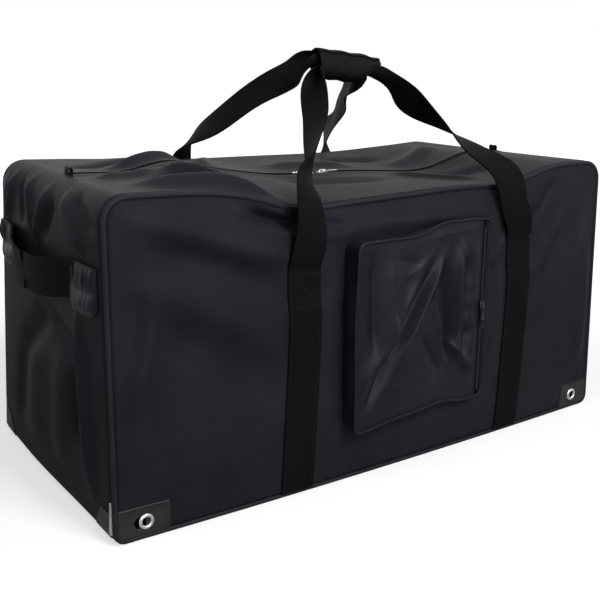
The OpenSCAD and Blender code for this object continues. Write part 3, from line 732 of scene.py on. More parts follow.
def uneven(material, shader, colour, low, high, scale):
    """Varies colour and roughness in soft patches."""
    place = add_node(material, "ShaderNodeTexCoord")
    noise = add_node(material, "ShaderNodeTexNoise", Scale=scale, Detail=4.0, Roughness=0.6)
    wire(material, place.outputs["Object"], noise.inputs["Vector"])
    tone = material.node_tree.nodes.new("ShaderNodeValToRGB")
    tone.color_ramp.elements[0].position = 0.3
    tone.color_ramp.elements[1].position = 0.75
    tone.color_ramp.elements[0].color = (*(c * 0.82 for c in colour), 1.0)
    tone.color_ramp.elements[1].color = (*(c * 1.25 for c in colour), 1.0)
    wire(material, noise.outputs["Fac"], tone.inputs["Fac"])
    wire(material, tone.outputs["Color"], shader.inputs["Base Color"])
    spread = add_node(material, "ShaderNodeMapRange")
    spread.inputs["To Min"].default_value = low
    spread.inputs["To Max"].default_value = high
    wire(material, noise.outputs["Fac"], spread.inputs["Value"])
    wire(material, spread.outputs["Result"], shader.inputs["Roughness"])
    return place


def woven(name, colour, roughness, warp, weft, relief, specular=0.5, sheen=0.0):
    """Woven cloth or webbing: yarns on the UV map, soft creases and uneven sheen."""
    if name in bpy.data.materials:
        return bpy.data.materials[name]
    material, shader = new_material(name, colour, roughness, specular=specular, sheen=sheen)
    place = uneven(material, shader, colour, roughness - 0.06, roughness + 0.08, 9.0)
    yarns = mixed(material, "MAXIMUM", band_wave(material, place.outputs["UV"], "X", warp),
                  band_wave(material, place.outputs["UV"], "Y", weft))
    crumple = add_node(material, "ShaderNodeTexNoise", Scale=55.0, Detail=3.0, Roughness=0.55)
    wire(material, place.outputs["Object"], crumple.inputs["Vector"])
    broad = mixed(material, "MULTIPLY", crumple.outputs["Fac"], 2.2)
    height = mixed(material, "ADD", mixed(material, "MULTIPLY", yarns, 0.5), broad)
    bump = add_node(material, "ShaderNodeBump", Strength=relief, Distance=0.0006)
    wire(material, height, bump.inputs["Height"])
    wire(material, bump.outputs["Normal"], shader.inputs["Normal"])
    return material


def shell_cloth():
    return woven("shell cloth", colours().shell, 0.44, 0.0011, 0.0011, 0.35, specular=0.03)


def pocket_cloth():
    return woven("pocket cloth", colours().pocket, 0.38, 0.0009, 0.0009, 0.25, specular=0.11)


# Pocket cloth in the second tone of its wall: a painted shade level
def wall_shade_level_cloth():
    return woven("pocket wall shade level", colours().pocket_wall_shade_level, 0.46, 0.0009, 0.0009, 0.25, specular=0.05)


def piping_cloth():
    return woven("piping cloth", colours().shell, 0.44, 0.0011, 0.0011, 0.3, specular=0.08)


def ribbed_webbing():
    return woven("ribbed webbing", colours().webbing, 0.52, 0.0030, 0.0016, 0.8, specular=0.02)


def woven_tape():
    return woven("zip tape", colours().zip, 0.62, 0.0012, 0.0012, 0.5, specular=0.05)


def grip_cloth():
    return woven("grip cloth", colours().grip, 0.55, 0.0012, 0.0012, 0.5, specular=0.04)


def coated_cloth():
    if "coated cloth" in bpy.data.materials:
        return bpy.data.materials["coated cloth"]
    material, shader = new_material("coated cloth", colours().patch, 0.42, specular=0.22)
    place = uneven(material, shader, colours().patch, 0.36, 0.52, 30.0)
    grain = add_node(material, "ShaderNodeTexVoronoi", Scale=900.0)
    wire(material, place.outputs["Object"], grain.inputs["Vector"])
    bump = add_node(material, "ShaderNodeBump", Strength=0.25, Distance=0.0004)
    wire(material, grain.outputs["Distance"], bump.inputs["Height"])
    wire(material, bump.outputs["Normal"], shader.inputs["Normal"])
    return material


def simple_finish(name, colour, low, high, scale, metallic=0.0, specular=0.5):
    """Smooth finish with uneven gloss."""
    if name in bpy.data.materials:
        return bpy.data.materials[name]
    material, shader = new_material(name, colour, low, metallic=metallic, specular=specular)
    uneven(material, shader, colour, low, high, scale)
    return material


def plated_nickel():
    return simple_finish("plated nickel", colours().nickel, 0.16, 0.32, 160.0, metallic=1.0)


def dark_metal():
    return simple_finish("dark metal", colours().pocket_metal, 0.24, 0.40, 160.0, metallic=1.0)


def coil_plastic():
    return simple_finish("zip coil", colours().zip, 0.32, 0.45, 220.0, specular=0.3)


def thread_finish():
    return simple_finish("thread", colours().webbing, 0.5, 0.65, 300.0, specular=0.15)


# Finish of the pale grey strips beside the lower corner seams
def pale_strip_finish():
    return simple_finish("pale corner strip", colours().pale_corner_strip, 0.6, 0.75, 200.0)


# Operators

class BAG_OT_panels(bpy.types.Operator):
    """Front and back panels, with room left at the lower corners for the patches"""

    bl_idname = "bag.panels"
    bl_label = "Front and back panels"

    def execute(self, context):
        for side, node in ((-1, "front_panel"), (1, "back_panel")):
            piece, u, v = add_grid(node + "_cloth", 150, 76)
            z = PANEL_INSET + v * (HEIGHT - 2 * PANEL_INSET)
            x, z = rounded((2 * u - 1) * side_x(z, PANEL_INSET), z, PANEL_INSET)
            set_points(piece, on_panel(side, x, z))
            set_uv(piece, x, z)
            cut_patches(piece)
            thicken(piece, sizes().cloth, lambda p: np.array((0, side, 0)))
            smooth(piece)
            dress(piece, shell_cloth(), [node])
            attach(piece, "bag")
        return {"FINISHED"}


def rounded(x, z, inset):
    """Moves places on a square-cornered panel onto its round-cornered outline."""
    half = side_x(z, inset)
    upper = z > HEIGHT / 2
    radius = np.where(upper, CORNER_R, CORNER_LOW) - inset
    from_side = np.clip(half - np.abs(x), 0, None)
    from_end = np.minimum(z - inset, HEIGHT - inset - z)
    a = np.clip(1 - from_side / radius, 0, 1)
    b = np.clip(1 - from_end / radius, 0, 1)
    both = np.maximum(np.hypot(a, b), 1e-9)
    shrink = np.where((a > 0) & (b > 0), np.maximum(a, b) / both, 1.0)
    x = np.where((a > 0) & (b > 0), np.sign(x) * (half - radius + a * shrink * radius), x)
    corner_z = np.where(upper, HEIGHT - inset - radius + b * shrink * radius,
                        inset + radius - b * shrink * radius)
    return x, np.where((a > 0) & (b > 0), corner_z, z)


def cut_patches(piece):
    """Takes out the panel's lower corners where the patches lie."""
    reach = PATCH_LOW.x + PATCH_LAP
    height = PATCH_HIGH.z - PATCH_LAP
    take_out(piece, lambda centre: abs(centre.x) > reach and centre.z < height)


def take_out(piece, chosen):
    """Deletes the faces whose centre is chosen."""
    make_active(piece)
    bpy.ops.object.mode_set(mode="EDIT")
    bpy.ops.mesh.select_all(action="DESELECT")
    bpy.ops.object.mode_set(mode="OBJECT")
    for face in piece.data.polygons:
        face.select = chosen(face.center)
    bpy.ops.object.mode_set(mode="EDIT")
    bpy.ops.mesh.select_mode(type="FACE")
    bpy.ops.mesh.delete(type="FACE")
    bpy.ops.object.mode_set(mode="OBJECT")


class BAG_OT_ends(bpy.types.Operator):
    """End panels, each wrapped from the base to the top"""

    bl_idname = "bag.ends"
    bl_label = "End panels"

    def execute(self, context):
        for side, node in ((-1, "left_end_panel"), (1, "right_end_panel")):
            piece, u, v = add_grid(node + "_cloth", 84, 110)
            y = (2 * u - 1) * BAND_EDGE
            set_points(piece, on_end(side, y, v))
            set_uv(piece, y, v * 0.53)
            thicken(piece, sizes().cloth, lambda p: p * (1, 0, 0))
            smooth(piece)
            dress(piece, shell_cloth(), [node])
            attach(piece, "bag")
        return {"FINISHED"}


class BAG_OT_base(bpy.types.Operator):
    """Flat bottom panel"""

    bl_idname = "bag.base"
    bl_label = "Bottom panel"

    def execute(self, context):
        piece, u, v = add_grid("bottom_panel_cloth", 100, 50)
        half = side_x(CORNER_LOW, CORNER_LOW) + 0.0003
        x = (2 * u - 1) * half
        y = (2 * v - 1) * BAND_EDGE
        edge = BAND_EDGE - np.abs(y)
        px, py, _ = settle(x, y, np.zeros_like(x))
        set_points(piece, np.column_stack((px, py, tuck(edge))))
        set_uv(piece, x, y)
        thicken(piece, sizes().cloth, lambda p: np.array((0, 0, -1)))
        smooth(piece)
        dress(piece, shell_cloth(), ["bottom_panel"])
        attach(piece, "bag")
        return {"FINISHED"}


def blend_top(piece):
    """Bakes the place of a piece of the top into its mesh."""
    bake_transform(piece)


class BAG_OT_top(bpy.types.Operator):
    """Top flaps, in two halves each so that the mouth opens from the middle"""

    bl_idname = "bag.top"
    bl_label = "Top flaps"

    def execute(self, context):
        zip_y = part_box("top_back_flap")[0].y
        for side, word in ((-1, "front"), (1, "back")):
            for end, half in ((-1, "left"), (1, "right")):
                piece, u, v = add_grid(f"top_{word}_{half}_cloth", 72, 34)
                x = end * u * (TOP_HALF + 0.0004)
                y = side * (zip_y - 0.002 + v * (BAND_EDGE - zip_y + 0.002))
                hem = 0.0016 * ease((zip_y + 0.012 - np.abs(y)) / 0.003)
                set_points(piece, on_top(x, y, hem))
                set_uv(piece, x, y)
                thicken(piece, sizes().cloth, lambda p: np.array((0, 0, 1)))
                smooth(piece, 60)
                dress(piece, shell_cloth(), [f"top_{word}_flap"])
                blend_top(piece)
        return {"FINISHED"}


class BAG_OT_piping(bpy.types.Operator):
    """Corded piping round the front and back panels"""

    bl_idname = "bag.piping"
    bl_label = "Piping"

    def execute(self, context):
        for side, node in ((-1, "front_piping"), (1, "back_piping")):
            line = outline(PIPING_R + 0.0003, 420)
            x, y, z = settle(line[:, 0], np.full(len(line), side * PANEL_Y), line[:, 1])
            z = np.maximum(z, PIPING_R)
            piece = tube(node + "_cord", np.column_stack((x, y, z)), PIPING_R, 12, closed=True)
            dress(piece, piping_cloth(), [node])
            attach(piece, "bag")
        return {"FINISHED"}


class BAG_OT_patches(bpy.types.Operator):
    """Coated patches on the lower corners, each with a hole for its eyelet"""

    bl_idname = "bag.patches"
    bl_label = "Corner patches"

    def execute(self, context):
        inset = 0.0062
        for side, face in ((-1, "front"), (1, "back")):
            for end, word in ((-1, "left"), (1, "right")):
                piece, u, v = add_grid(f"{face}_{word}_patch_cloth", 40, 24)
                z = inset + v * (PATCH_HIGH.z - inset)
                x = PATCH_LOW.x + u * (side_x(z, inset) - PATCH_LOW.x)
                x, z = rounded(x, z, inset)
                set_points(piece, on_panel(side, end * x, z, 0.0009))
                set_uv(piece, x, z)
                cut_round(piece, end * eyelet_x(), eyelet_z(), 0.0085)
                thicken(piece, 0.0012, lambda p: np.array((0, side, 0)))
                smooth(piece)
                dress(piece, coated_cloth(), [f"{face}_{word}_patch"])
                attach(piece, "bag")
                hem = patch_hem(face, word, side, end)
                dress(hem, thread_finish())
                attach(hem, "bag")
                wing = end_strip(f"{face}_{word}_patch_wing", end, side,
                                 (0.052, 0.0), (0.010, 0.044), 0.0012)
                dress(wing, coated_cloth())
                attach(wing, "bag")
                # Pale grey strip on the end panel beside the corner seam
                pale_strip = end_strip(f"{face}_{word}_patch_edge", end, side,
                                (0.0042, 0.0004), (0.014, 0.060), 0.0022)
                dress(pale_strip, pale_strip_finish())
                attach(pale_strip, "bag")
        return {"FINISHED"}


def end_strip(name, end, side, reach, heights, lift):
    """Strip on an end panel beside a lower corner: how far it reaches in from the seam at its
    foot, and its lowest and highest place."""
    piece, u, v = add_grid(name, 20, 16)
    z = heights[0] + v * (heights[1] - heights[0])
    inner = BAND_Y - reach[0] * (1 - 0.45 * v)
    y = side * (inner + u * (BAND_Y - reach[1] - inner))
    set_points(piece, on_end(end, y, end_share(z), lift))
    set_uv(piece, y, z)
    thicken(piece, 0.0010, lambda p: p * (1, 0, 0))
    smooth(piece)
    return piece


def eyelet_x():
    return EYELET_HIGH.x - (EYELET_HIGH.z - EYELET_LOW.z) / 2


def eyelet_z():
    return (EYELET_LOW.z + EYELET_HIGH.z) / 2


def cut_round(piece, x, z, radius):
    """Takes out the faces of a patch round a hole."""
    take_out(piece, lambda centre: math.hypot(centre.x - x, centre.z - z) < radius)


def patch_hem(face, word, side, end):
    """Stitches along the two free edges of a patch."""
    margin = 0.003
    share = np.linspace(0, 1, 40)
    up = PATCH_HIGH.z - margin
    inner = PATCH_LOW.x + margin
    upright = on_panel(side, np.full(40, end * inner), 0.010 + share * (up - 0.010), 0.0012)
    level = on_panel(side, end * (inner + share * (side_x(up, 0.008) - inner)), np.full(40, up), 0.0012)
    outward = np.array((0.0, side, 0.0))
    return stitches(f"{face}_{word}_patch_stitches", [(upright, outward), (level, outward)],
                    pitch=0.0035, thread=0.0004)


class BAG_OT_eyelets(bpy.types.Operator):
    """Rolled nickel eyelets through the corner patches"""

    bl_idname = "bag.eyelets"
    bl_label = "Eyelets"

    def execute(self, context):
        outer = (EYELET_HIGH.z - EYELET_LOW.z) / 2
        bore = outer * 0.54
        section = even(np.array((
            (outer, 0.0), (outer * 0.99, 0.0008), (outer * 0.93, 0.0014), (outer * 0.80, 0.0020),
            (outer * 0.68, 0.0022), (outer * 0.59, 0.0016), (bore, 0.0004), (bore, -0.0050),
            (bore + 0.0008, -0.0050), (bore + 0.0009, -0.0004), (outer * 0.9, -0.0004),
            (outer, 0.0))), 26)
        rings = []
        for side in (-1, 1):
            for end in (-1, 1):
                seat = on_panel(side, end * eyelet_x(), eyelet_z(), 0.0009)[0]
                rings.append(turned("eyelet", section, seat, side))
        piece = join("eyelet_rings", rings)
        dress(piece, plated_nickel(), ["eyelets"])
        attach(piece, "bag")
        return {"FINISHED"}


def turned(name, section, seat, side):
    """Ring turned about the Y axis from rows of radius and height off its seat."""
    count = len(section) - 1
    piece, u, v = add_grid(name, 36, count)
    row = np.rint(v * count).astype(int)
    turn = u * 2 * math.pi
    radius = section[row, 0]
    place = np.column_stack((radius * np.cos(turn), side * section[row, 1], radius * np.sin(turn)))
    set_points(piece, place + seat)
    set_uv(piece, turn * 0.01, v * 0.03)
    close_skin(piece, capped=False)
    smooth(piece, 40)
    return piece


class BAG_OT_straps(bpy.types.Operator):
    """Webbing straps sewn to the panels, with boxed and crossed stitches at their tops"""

    bl_idname = "bag.straps"
    bl_label = "Sewn straps"

    def execute(self, context):
        for side, face in ((-1, "front"), (1, "back")):
            for centre, word in ((LEFT_STRAP_X, "left"), (RIGHT_STRAP_X, "right")):
                node = f"{face}_{word}_strap"
                piece, u, v = add_grid(node + "_webbing", 12, 90)
                z = STRAP_LOW.z - 0.002 + v * (STITCH_TOP - STRAP_LOW.z + 0.002)
                across = (u - 0.5) * WEBBING_W
                place = on_panel(side, centre + strap_lean(z) + across, z, WEBBING_T)
                set_points(piece, place)
                set_uv(piece, across, z)
                thicken(piece, WEBBING_T, lambda p: np.array((0, side, 0)))
                smooth(piece, 50)
                dress(piece, ribbed_webbing(), [node])
                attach(piece, "bag")
                thread = strap_stitches(node, side, centre)
                dress(thread, thread_finish())
                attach(thread, "bag")
        return {"FINISHED"}


def strap_stitches(node, side, centre):
    """Edge rows up the strap, and a box with a cross below its top."""
    half = WEBBING_W / 2 - 0.004
    top = STITCH_TOP - 0.008
    low = top - 0.046
    base = STRAP_LOW.z + 0.002
    routes = (((-half, base), (-half, top)), ((half, base), (half, top)),
              ((-half, top), (half, top)), ((-half, low), (half, low)),
              ((-half, low), (half, top)), ((-half, top), (half, low)))
    lines = []
    for start, end in routes:
        share = np.linspace(0, 1, 80)
        across = start[0] + share * (end[0] - start[0])
        z = start[1] + share * (end[1] - start[1])
        place = on_panel(side, centre + strap_lean(z) + across, z, WEBBING_T + 0.0001)
        lines.append((place, np.array((0.0, side, 0.0))))
    return stitches(node + "_stitches", lines, pitch=0.0042, thread=0.00055)


class BAG_OT_carry_handles(bpy.types.Operator):
    """Two carrying handles, each one length of webbing from strap to strap through the grip"""

    bl_idname = "bag.carry_handles"
    bl_label = "Carrying handles"

    def execute(self, context):
        for side, face in ((-1, "front"), (1, "back")):
            piece = ribbon(face + "_handle_webbing", handle_rows(side), 150, WEBBING_W, WEBBING_T)
            dress(piece, ribbed_webbing(), [face + "_handle_legs", face + "_handle_loop"])
            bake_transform(piece)
        return {"FINISHED"}


# Heights at which each leg stands off its panel, and by how much, the height over which it shifts
# along the bag, and how far it stands out where it passes the panel's top edge
LEG_STAND = ((0.372, 0.0125), (0.408, 0.0175))
LEG_RUN = 0.1
KNEE_OUT = 0.006
# Direction across each leg's webbing at shares of its way from its panel's top edge to the grip,
# by panel and end, and its shift along the bag at that edge
LEG_SHARES = (0.0, 0.22, 0.45, 0.70, 0.90)
LEG_ACROSS = {
    (-1, -1): ((0.90, 0.44, 0), (0.62, 0.78, 0), (0.36, 0.93, 0), (0.10, 0.99, 0), (0.0, 1, 0)),
    (-1, 1): ((0.98, -0.20, 0), (0.99, 0.10, 0), (0.40, 0.92, 0), (-0.26, 0.97, 0), (-0.09, 1, 0)),
    (1, -1): ((0.80, 0.48, 0.33), (0.34, 0.67, 0.67), (0.20, 0.61, 0.76), (0.16, 0.57, 0.81),
              (0.15, 0.54, 0.83)),
    (1, 1): ((0.41, 0.65, 0.64), (0.40, 0.27, 0.88), (0.32, 0.34, 0.89), (0.23, 0.42, 0.88),
             (0.16, 0.47, 0.87)),
}
LEG_SHIFT = {(-1, -1): 0.004, (-1, 1): -0.038, (1, -1): 0.048, (1, 1): -0.071}
# Where each leg leaves the grip, as a share of half its length, how far it is lifted and how much
# it is rolled there, its height above the seam, and how far it sags on its way
LEG_EXIT = {(-1, -1): -1.1, (-1, 1): 0.85, (1, -1): -1.15, (1, 1): 0.40}
LEG_RISE = {(-1, -1): 0.0, (-1, 1): 0.012, (1, -1): 0.0, (1, 1): 0.0}
LEG_CURL = {(-1, -1): 2.3, (-1, 1): 2.3, (1, -1): 0.6, (1, 1): 0.3}
LEG_KNEE = {(-1, -1): 0.013, (-1, 1): 0.011, (1, -1): 0.018, (1, 1): 0.026}
LEG_SAG = {(-1, -1): 0.012, (-1, 1): -0.004, (1, -1): -0.010, (1, 1): 0.004}
# Fall of the grip along its length, and the webbing's width over the radius it is rolled to inside
GRIP_TILT = 0.10
GRIP_ROLL = 6.1


def handle_rows(side):
    """Place, direction across and curl of a handle's webbing, from its left strap to its right."""
    core = np.array((GRIP_X, GRIP_Y + side * 0.006, GRIP_Z + side * 0.0095))
    tilt = np.array((1.0, 0.0, -GRIP_TILT))
    inside = core - (0, 0, WEBBING_W / GRIP_ROLL)
    half = (GRIP_HIGH.x - GRIP_LOW.x) / 2
    legs = []
    middle = []
    for end, strap in ((-1, LEFT_STRAP_X), (1, RIGHT_STRAP_X)):
        leave = LEG_EXIT[side, end] * half * tilt + (0, 0, LEG_RISE[side, end])
        legs.append(leg_rows(side, end, strap, inside + leave))
        middle.append((*(inside + 0.8 * leave), 0, 1, 0, 6.0))
    return legs[0] + middle + legs[1][::-1]


def leg_x(strap, shift, z):
    """Place along the bag of a leg's middle at a height on its panel."""
    return strap + strap_lean(z) + shift * (z - STITCH_TOP) / LEG_RUN


def leg_rows(side, end, strap, grip_end):
    """One leg, from the stitches on its panel up to the end of the grip."""
    shift = LEG_SHIFT[side, end]
    turning = np.array(LEG_ACROSS[side, end][0]) + (3.0, 0, 0)
    turning = turning / np.linalg.norm(turning)
    z = STITCH_TOP - 0.001
    foot = on_panel(side, leg_x(strap, shift, z), z, WEBBING_T / 2)[0]
    rows = [(*foot, 1, 0, 0, 0)]
    for (z, lift), across in zip(LEG_STAND, ((1, 0, 0), turning)):
        x, y, z = settle(np.array(leg_x(strap, shift, z)), np.array(side * PANEL_Y), np.array(z))
        rows.append((x, y + side * (FACE_Y - PANEL_Y + lift), z, *across, 0))
    drop = float(top_drop(np.array(strap), np.array(side * BAND_Y)))
    knee = np.array((strap + strap_lean(0.4) + shift, side * (FACE_Y + KNEE_OUT),
                     HEIGHT - drop + LEG_KNEE[side, end]))
    for share, across in zip(LEG_SHARES, LEG_ACROSS[side, end]):
        place = knee + share * (grip_end - knee)
        place[2] -= LEG_SAG[side, end] * 4 * share * (1 - share)
        rows.append((*place, *across, LEG_CURL[side, end] * float(ease((share - 0.7) / 0.2))))
    return rows


class BAG_OT_grip(bpy.types.Operator):
    """Wrapped grip that holds both handles together, and its closing flap"""

    bl_idname = "bag.grip"
    bl_label = "Grip"

    def execute(self, context):
        wrap = sleeve("grip_wrap_cloth", 40, 250, 0.0)
        dress(wrap, grip_cloth(), ["grip_wrap"])
        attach(wrap, "front_loop")
        cover = sleeve("grip_flap_cloth", 52, -150, 0.0022)
        dress(cover, grip_cloth(), ["grip_flap"])
        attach(cover, "grip_cover")
        return {"FINISHED"}


def grip_section(turn, lift):
    """Rounded section of the sleeve: up and out at a turn about the grip."""
    square = 0.8
    up = np.sign(np.cos(turn)) * np.abs(np.cos(turn)) ** square * (0.0222 + lift)
    out = np.sign(np.sin(turn)) * np.abs(np.sin(turn)) ** square * (0.0165 + lift)
    return up, out


def sleeve(name, start, stop, lift):
    """Part of the sleeve, by turns about the grip from its top (0) over its front (90 degrees)."""
    piece, u, v = add_grid(name, 40, 40)
    half = (GRIP_HIGH.x - GRIP_LOW.x) / 2 + 0.006
    turn = np.radians(start + v * (stop - start))
    up, out = grip_section(turn, lift)
    lean = math.radians(18)
    low = ease((0.35 - np.cos(turn)) / 1.2)
    right = half - 0.034 * low
    x = GRIP_X - half + u * (half + right)
    pinch = 1 - 0.10 * ease((u - 0.75) / 0.25) - 0.05 * ease((0.2 - u) / 0.2)
    wave = 0.0008 * np.sin(u * 19 + v * 5) * np.sin(v * 7 + 1)
    y = GRIP_Y - (out * math.cos(lean) - up * math.sin(lean)) * pinch - wave
    z = GRIP_Z + (up * math.cos(lean) + out * math.sin(lean)) * pinch + wave - GRIP_TILT * (x - GRIP_X)
    set_points(piece, np.column_stack((x, y, z)))
    set_uv(piece, x, v * 0.11)
    centre = np.array((GRIP_X, GRIP_Y, GRIP_Z))
    thicken(piece, 0.0018, lambda p: p - centre)
    smooth(piece)
    return piece


class BAG_OT_end_handles(bpy.types.Operator):
    """Webbing handles on the ends, in two halves so that they twist when lifted, and their tabs"""

    bl_idname = "bag.end_handles"
    bl_label = "End handles"

    def execute(self, context):
        for side, word in ((-1, "left"), (1, "right")):
            for face, half in ((-1, "front"), (1, "back")):
                tab = handle_tab(f"{word}_handle_{half}_tab_cloth", side, face)
                dress(tab, pocket_cloth(), [word + "_handle_tabs"])
                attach(tab, "bag")
                strip = end_handle_half(f"{word}_handle_{half}_webbing", side, face)
                dress(strip, ribbed_webbing(), [word + "_end_handle"])
                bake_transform(strip)
        return {"FINISHED"}


def end_share(z):
    """Share of the end's line at a height on its straight stretch."""
    line = end_line(0.0, 600)
    return np.interp(z, line[:, 1], np.linspace(0, 1, len(line)))


def handle_tab(name, side, face):
    """Cloth tab that holds one end of an end handle: sewn flutes that fan out below it."""
    piece, u, v = add_grid(name, 90, 40)
    inner = END_HANDLE_HIGH.y - 0.018
    sewn = 0.46
    left = inner + 0.004 * np.sin(np.pi * np.clip(v - sewn, 0, 1) / (1 - sewn))
    left = left - 0.003 * ease((sewn - v) / sewn)
    right = BAND_Y - 0.010
    y = face * (left + u * (right - left))
    foot = TAB_LOW.z - 0.012 + 0.012 * (2 * u - 1) ** 4
    z = foot + v * (TAB_HIGH.z - foot)
    waves = np.sin(u * 31.0 + 1.5 * np.sin(u * 8.0 + 0.7) + 0.6 * np.sin(v * 5.0))
    waves = 0.7 * waves + 0.4 * np.sin(u * 14.0 + 2.0 + 0.8 * v)
    upper = np.sin(np.pi * np.clip((v - sewn) / (0.95 - sewn), 0, 1))
    lower = np.sin(np.pi * np.clip(v / sewn, 0, 1))
    flutes = waves * (0.0017 * upper + 0.0004 * lower) * ease(u / 0.08) * ease((1 - u) / 0.10)
    puff = 0.0045 * lower * np.sin(np.pi * u) ** 0.5 + 0.0012 * upper
    puff = puff - 0.0022 * ease((u - 0.9) / 0.1)
    set_points(piece, on_end(side, y, end_share(z), 0.0040 + flutes + puff))
    set_uv(piece, y, z)
    thicken(piece, 0.0024, lambda p: np.array((side, 0, 0)))
    smooth(piece, 60)
    return piece


# Bow of an end handle: place across the end, stand-off and sag, set for one reach, and the least
# distance of the webbing from the bag's middle
END_BOW = ((0.150, 0.000, 0.000), (0.135, 0.0015, 0.000), (0.110, 0.008, -0.003),
           (0.080, 0.017, -0.008), (0.045, 0.023, -0.012), (0.0, 0.025, -0.014))
BOW_REACH = 0.026
BOW_FROM = 0.4615


def end_handle_half(name, side, face):
    """Half of an end handle, from under its tab to the middle of its bow."""
    reach = END_HANDLE_HIGH.x - END_HANDLE_LOW.x
    rows = []
    for way, part in ((face, END_BOW), (-face, END_BOW[-2::-1])):
        for y, stand, sag in part:
            seat = on_end(side, np.array((way * y,)), end_share(np.array((END_Z + sag,))), 0.0014)[0]
            out = max(abs(seat[0]), BOW_FROM) + stand * reach / BOW_REACH
            rows.append((side * out, way * y, END_Z + sag, 0.08 * side, 0, 1, 0.25 * (1 - y / 0.15)))
    return ribbon(name, rows, 40, WEBBING_W, WEBBING_T, first_half=True)


class BAG_OT_zip(bpy.types.Operator):
    """Zip tapes and coils along the top, in halves that part with the flaps"""

    bl_idname = "bag.zip"
    bl_label = "Main zip"

    def execute(self, context):
        tape_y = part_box("zip_tape_back")
        for side, word in ((-1, "front"), (1, "back")):
            for end, half in ((-1, "left"), (1, "right")):
                piece, u, v = add_grid(f"zip_tape_{word}_{half}", 100, 6)
                x = end * u * (TOP_HALF - 0.001)
                y = side * (tape_y[0].y + v * (tape_y[1].y + 0.003 - tape_y[0].y))
                set_points(piece, on_top(x, y, -0.0010))
                set_uv(piece, x, y)
                thicken(piece, 0.0012, lambda p: np.array((0, 0, 1)))
                smooth(piece)
                dress(piece, woven_tape(), ["zip_tape_" + word])
                blend_top(piece)
                coil = coil_row(f"zip_coil_{word}_{half}", side, end)
                dress(coil, coil_plastic(), ["zip_coil_" + word])
                blend_top(coil)
        return {"FINISHED"}


# Spacing of a coil's turns along the zip, and their distance from its middle
COIL_PITCH = 0.0024
COIL_OFF = 0.0011


def coil_row(name, side, end):
    """One side of the main zip's coil, its turns set into the other side's gaps."""
    count = int((TOP_HALF - 0.004) / COIL_PITCH)
    x = end * coil_places(side, count)
    seats = on_top(x, np.full(count, side * COIL_OFF), -0.0012)
    return coil_turns(name, seats, (math.pi / 2, 0, 0), (1.0, 1.0, 1.35))


def coil_places(side, count):
    """Places along a zip of one side's turns."""
    return (np.arange(count) + (0.25 if side < 0 else 0.75)) * COIL_PITCH


def coil_turns(name, seats, rotation, stretch):
    """Small rounded turns of a zip's coil, one at each seat."""
    bpy.ops.object.select_all(action="DESELECT")
    bpy.ops.mesh.primitive_cylinder_add(vertices=8, radius=0.0008, depth=0.0026, rotation=rotation)
    bpy.ops.object.transform_apply(location=False, rotation=True, scale=False)
    piece = named(name)
    turn = points_of(piece) * stretch
    faces = [tuple(face.vertices) for face in piece.data.polygons]
    points = (seats[:, None, :] + turn[None, :, :]).reshape(-1, 3)
    polygons = [tuple(i * len(turn) + k for k in face) for i in range(len(seats)) for face in faces]
    fill_mesh(piece, points.tolist(), polygons)
    smooth(piece, 50)
    return piece


class BAG_OT_zip_tabs(bpy.types.Operator):
    """Folded cloth tabs at both ends of the main zip"""

    bl_idname = "bag.zip_tabs"
    bl_label = "Zip end tabs"

    def execute(self, context):
        for word in ("left", "right"):
            low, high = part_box(word + "_zip_tab")
            x = (low.x + high.x) / 2
            half = (high.x - low.x) / 2 + 0.0014
            foot = low.z - 0.004
            crest = high.z - 0.003
            rows = [(x - half, 0, foot, 0, 1, 0, 0), (x - half, 0, foot + 0.006, 0, 1, 0, 0),
                    (x - half, 0.0004, crest - 0.003, 0, 1, 0, 0.2), (x, 0.0006, crest, 0, 1, 0, 0.3),
                    (x + half, 0.0004, crest - 0.003, 0, 1, 0, 0.2),
                    (x + half, 0, foot + 0.006, 0, 1, 0, 0), (x + half, 0, foot, 0, 1, 0, 0)]
            piece = ribbon(word + "_zip_tab_cloth", rows, 40, high.y - low.y, 0.0010, columns=6)
            dress(piece, woven_tape(), [word + "_zip_tab"])
            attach(piece, "bag")
        return {"FINISHED"}


def block(low, high, bevel):
    """Box between two corners with rounded edges."""
    bpy.ops.object.select_all(action="DESELECT")
    bpy.ops.mesh.primitive_cube_add(size=1.0)
    piece = bpy.context.active_object
    low = np.array(low)
    high = np.array(high)
    set_points(piece, points_of(piece) * (high - low) + (low + high) / 2)
    make_active(piece)
    bpy.ops.object.mode_set(mode="EDIT")
    bpy.ops.mesh.select_all(action="SELECT")
    bpy.ops.mesh.bevel(offset=bevel, segments=3, affect="EDGES")
    bpy.ops.object.mode_set(mode="OBJECT")
    return piece


def slider_body(name):
    """Zip slider at the origin, its nose along +X and its crown along +Z."""
    length = SLIDER_HIGH.x - SLIDER_LOW.x
    width = SLIDER_HIGH.y - SLIDER_LOW.y
    plate_low, plate_high = 0.0017, 0.0032
    parts = []
    for way in (-1, 1):
        plate = block((-length / 2, -width / 2, plate_low), (length / 2, width / 2, plate_high), 0.0006)
        place = points_of(plate)
        taper = 1 - 0.30 * ease((-place[:, 0] - 0.001) / (length / 2))
        place[:, 1] *= taper
        place[:, 2] *= way
        set_points(plate, place)
        close_skin(plate, capped=False)
        parts.append(plate)
    parts.append(block((length / 2 - 0.006, -0.0012, -plate_low),
                       (length / 2 - 0.001, 0.0012, plate_low), 0.0003))
    crown = [(-0.006, 0, plate_high - 0.0004), (-0.0055, 0, plate_high + 0.0020),
             (-0.003, 0, plate_high + 0.0034), (0.003, 0, plate_high + 0.0034),
             (0.0055, 0, plate_high + 0.0020), (0.006, 0, plate_high - 0.0004)]
    path = along(crown, 18)
    parts.append(tube("crown", path, 0.0009, 8))
    return join(name, parts)


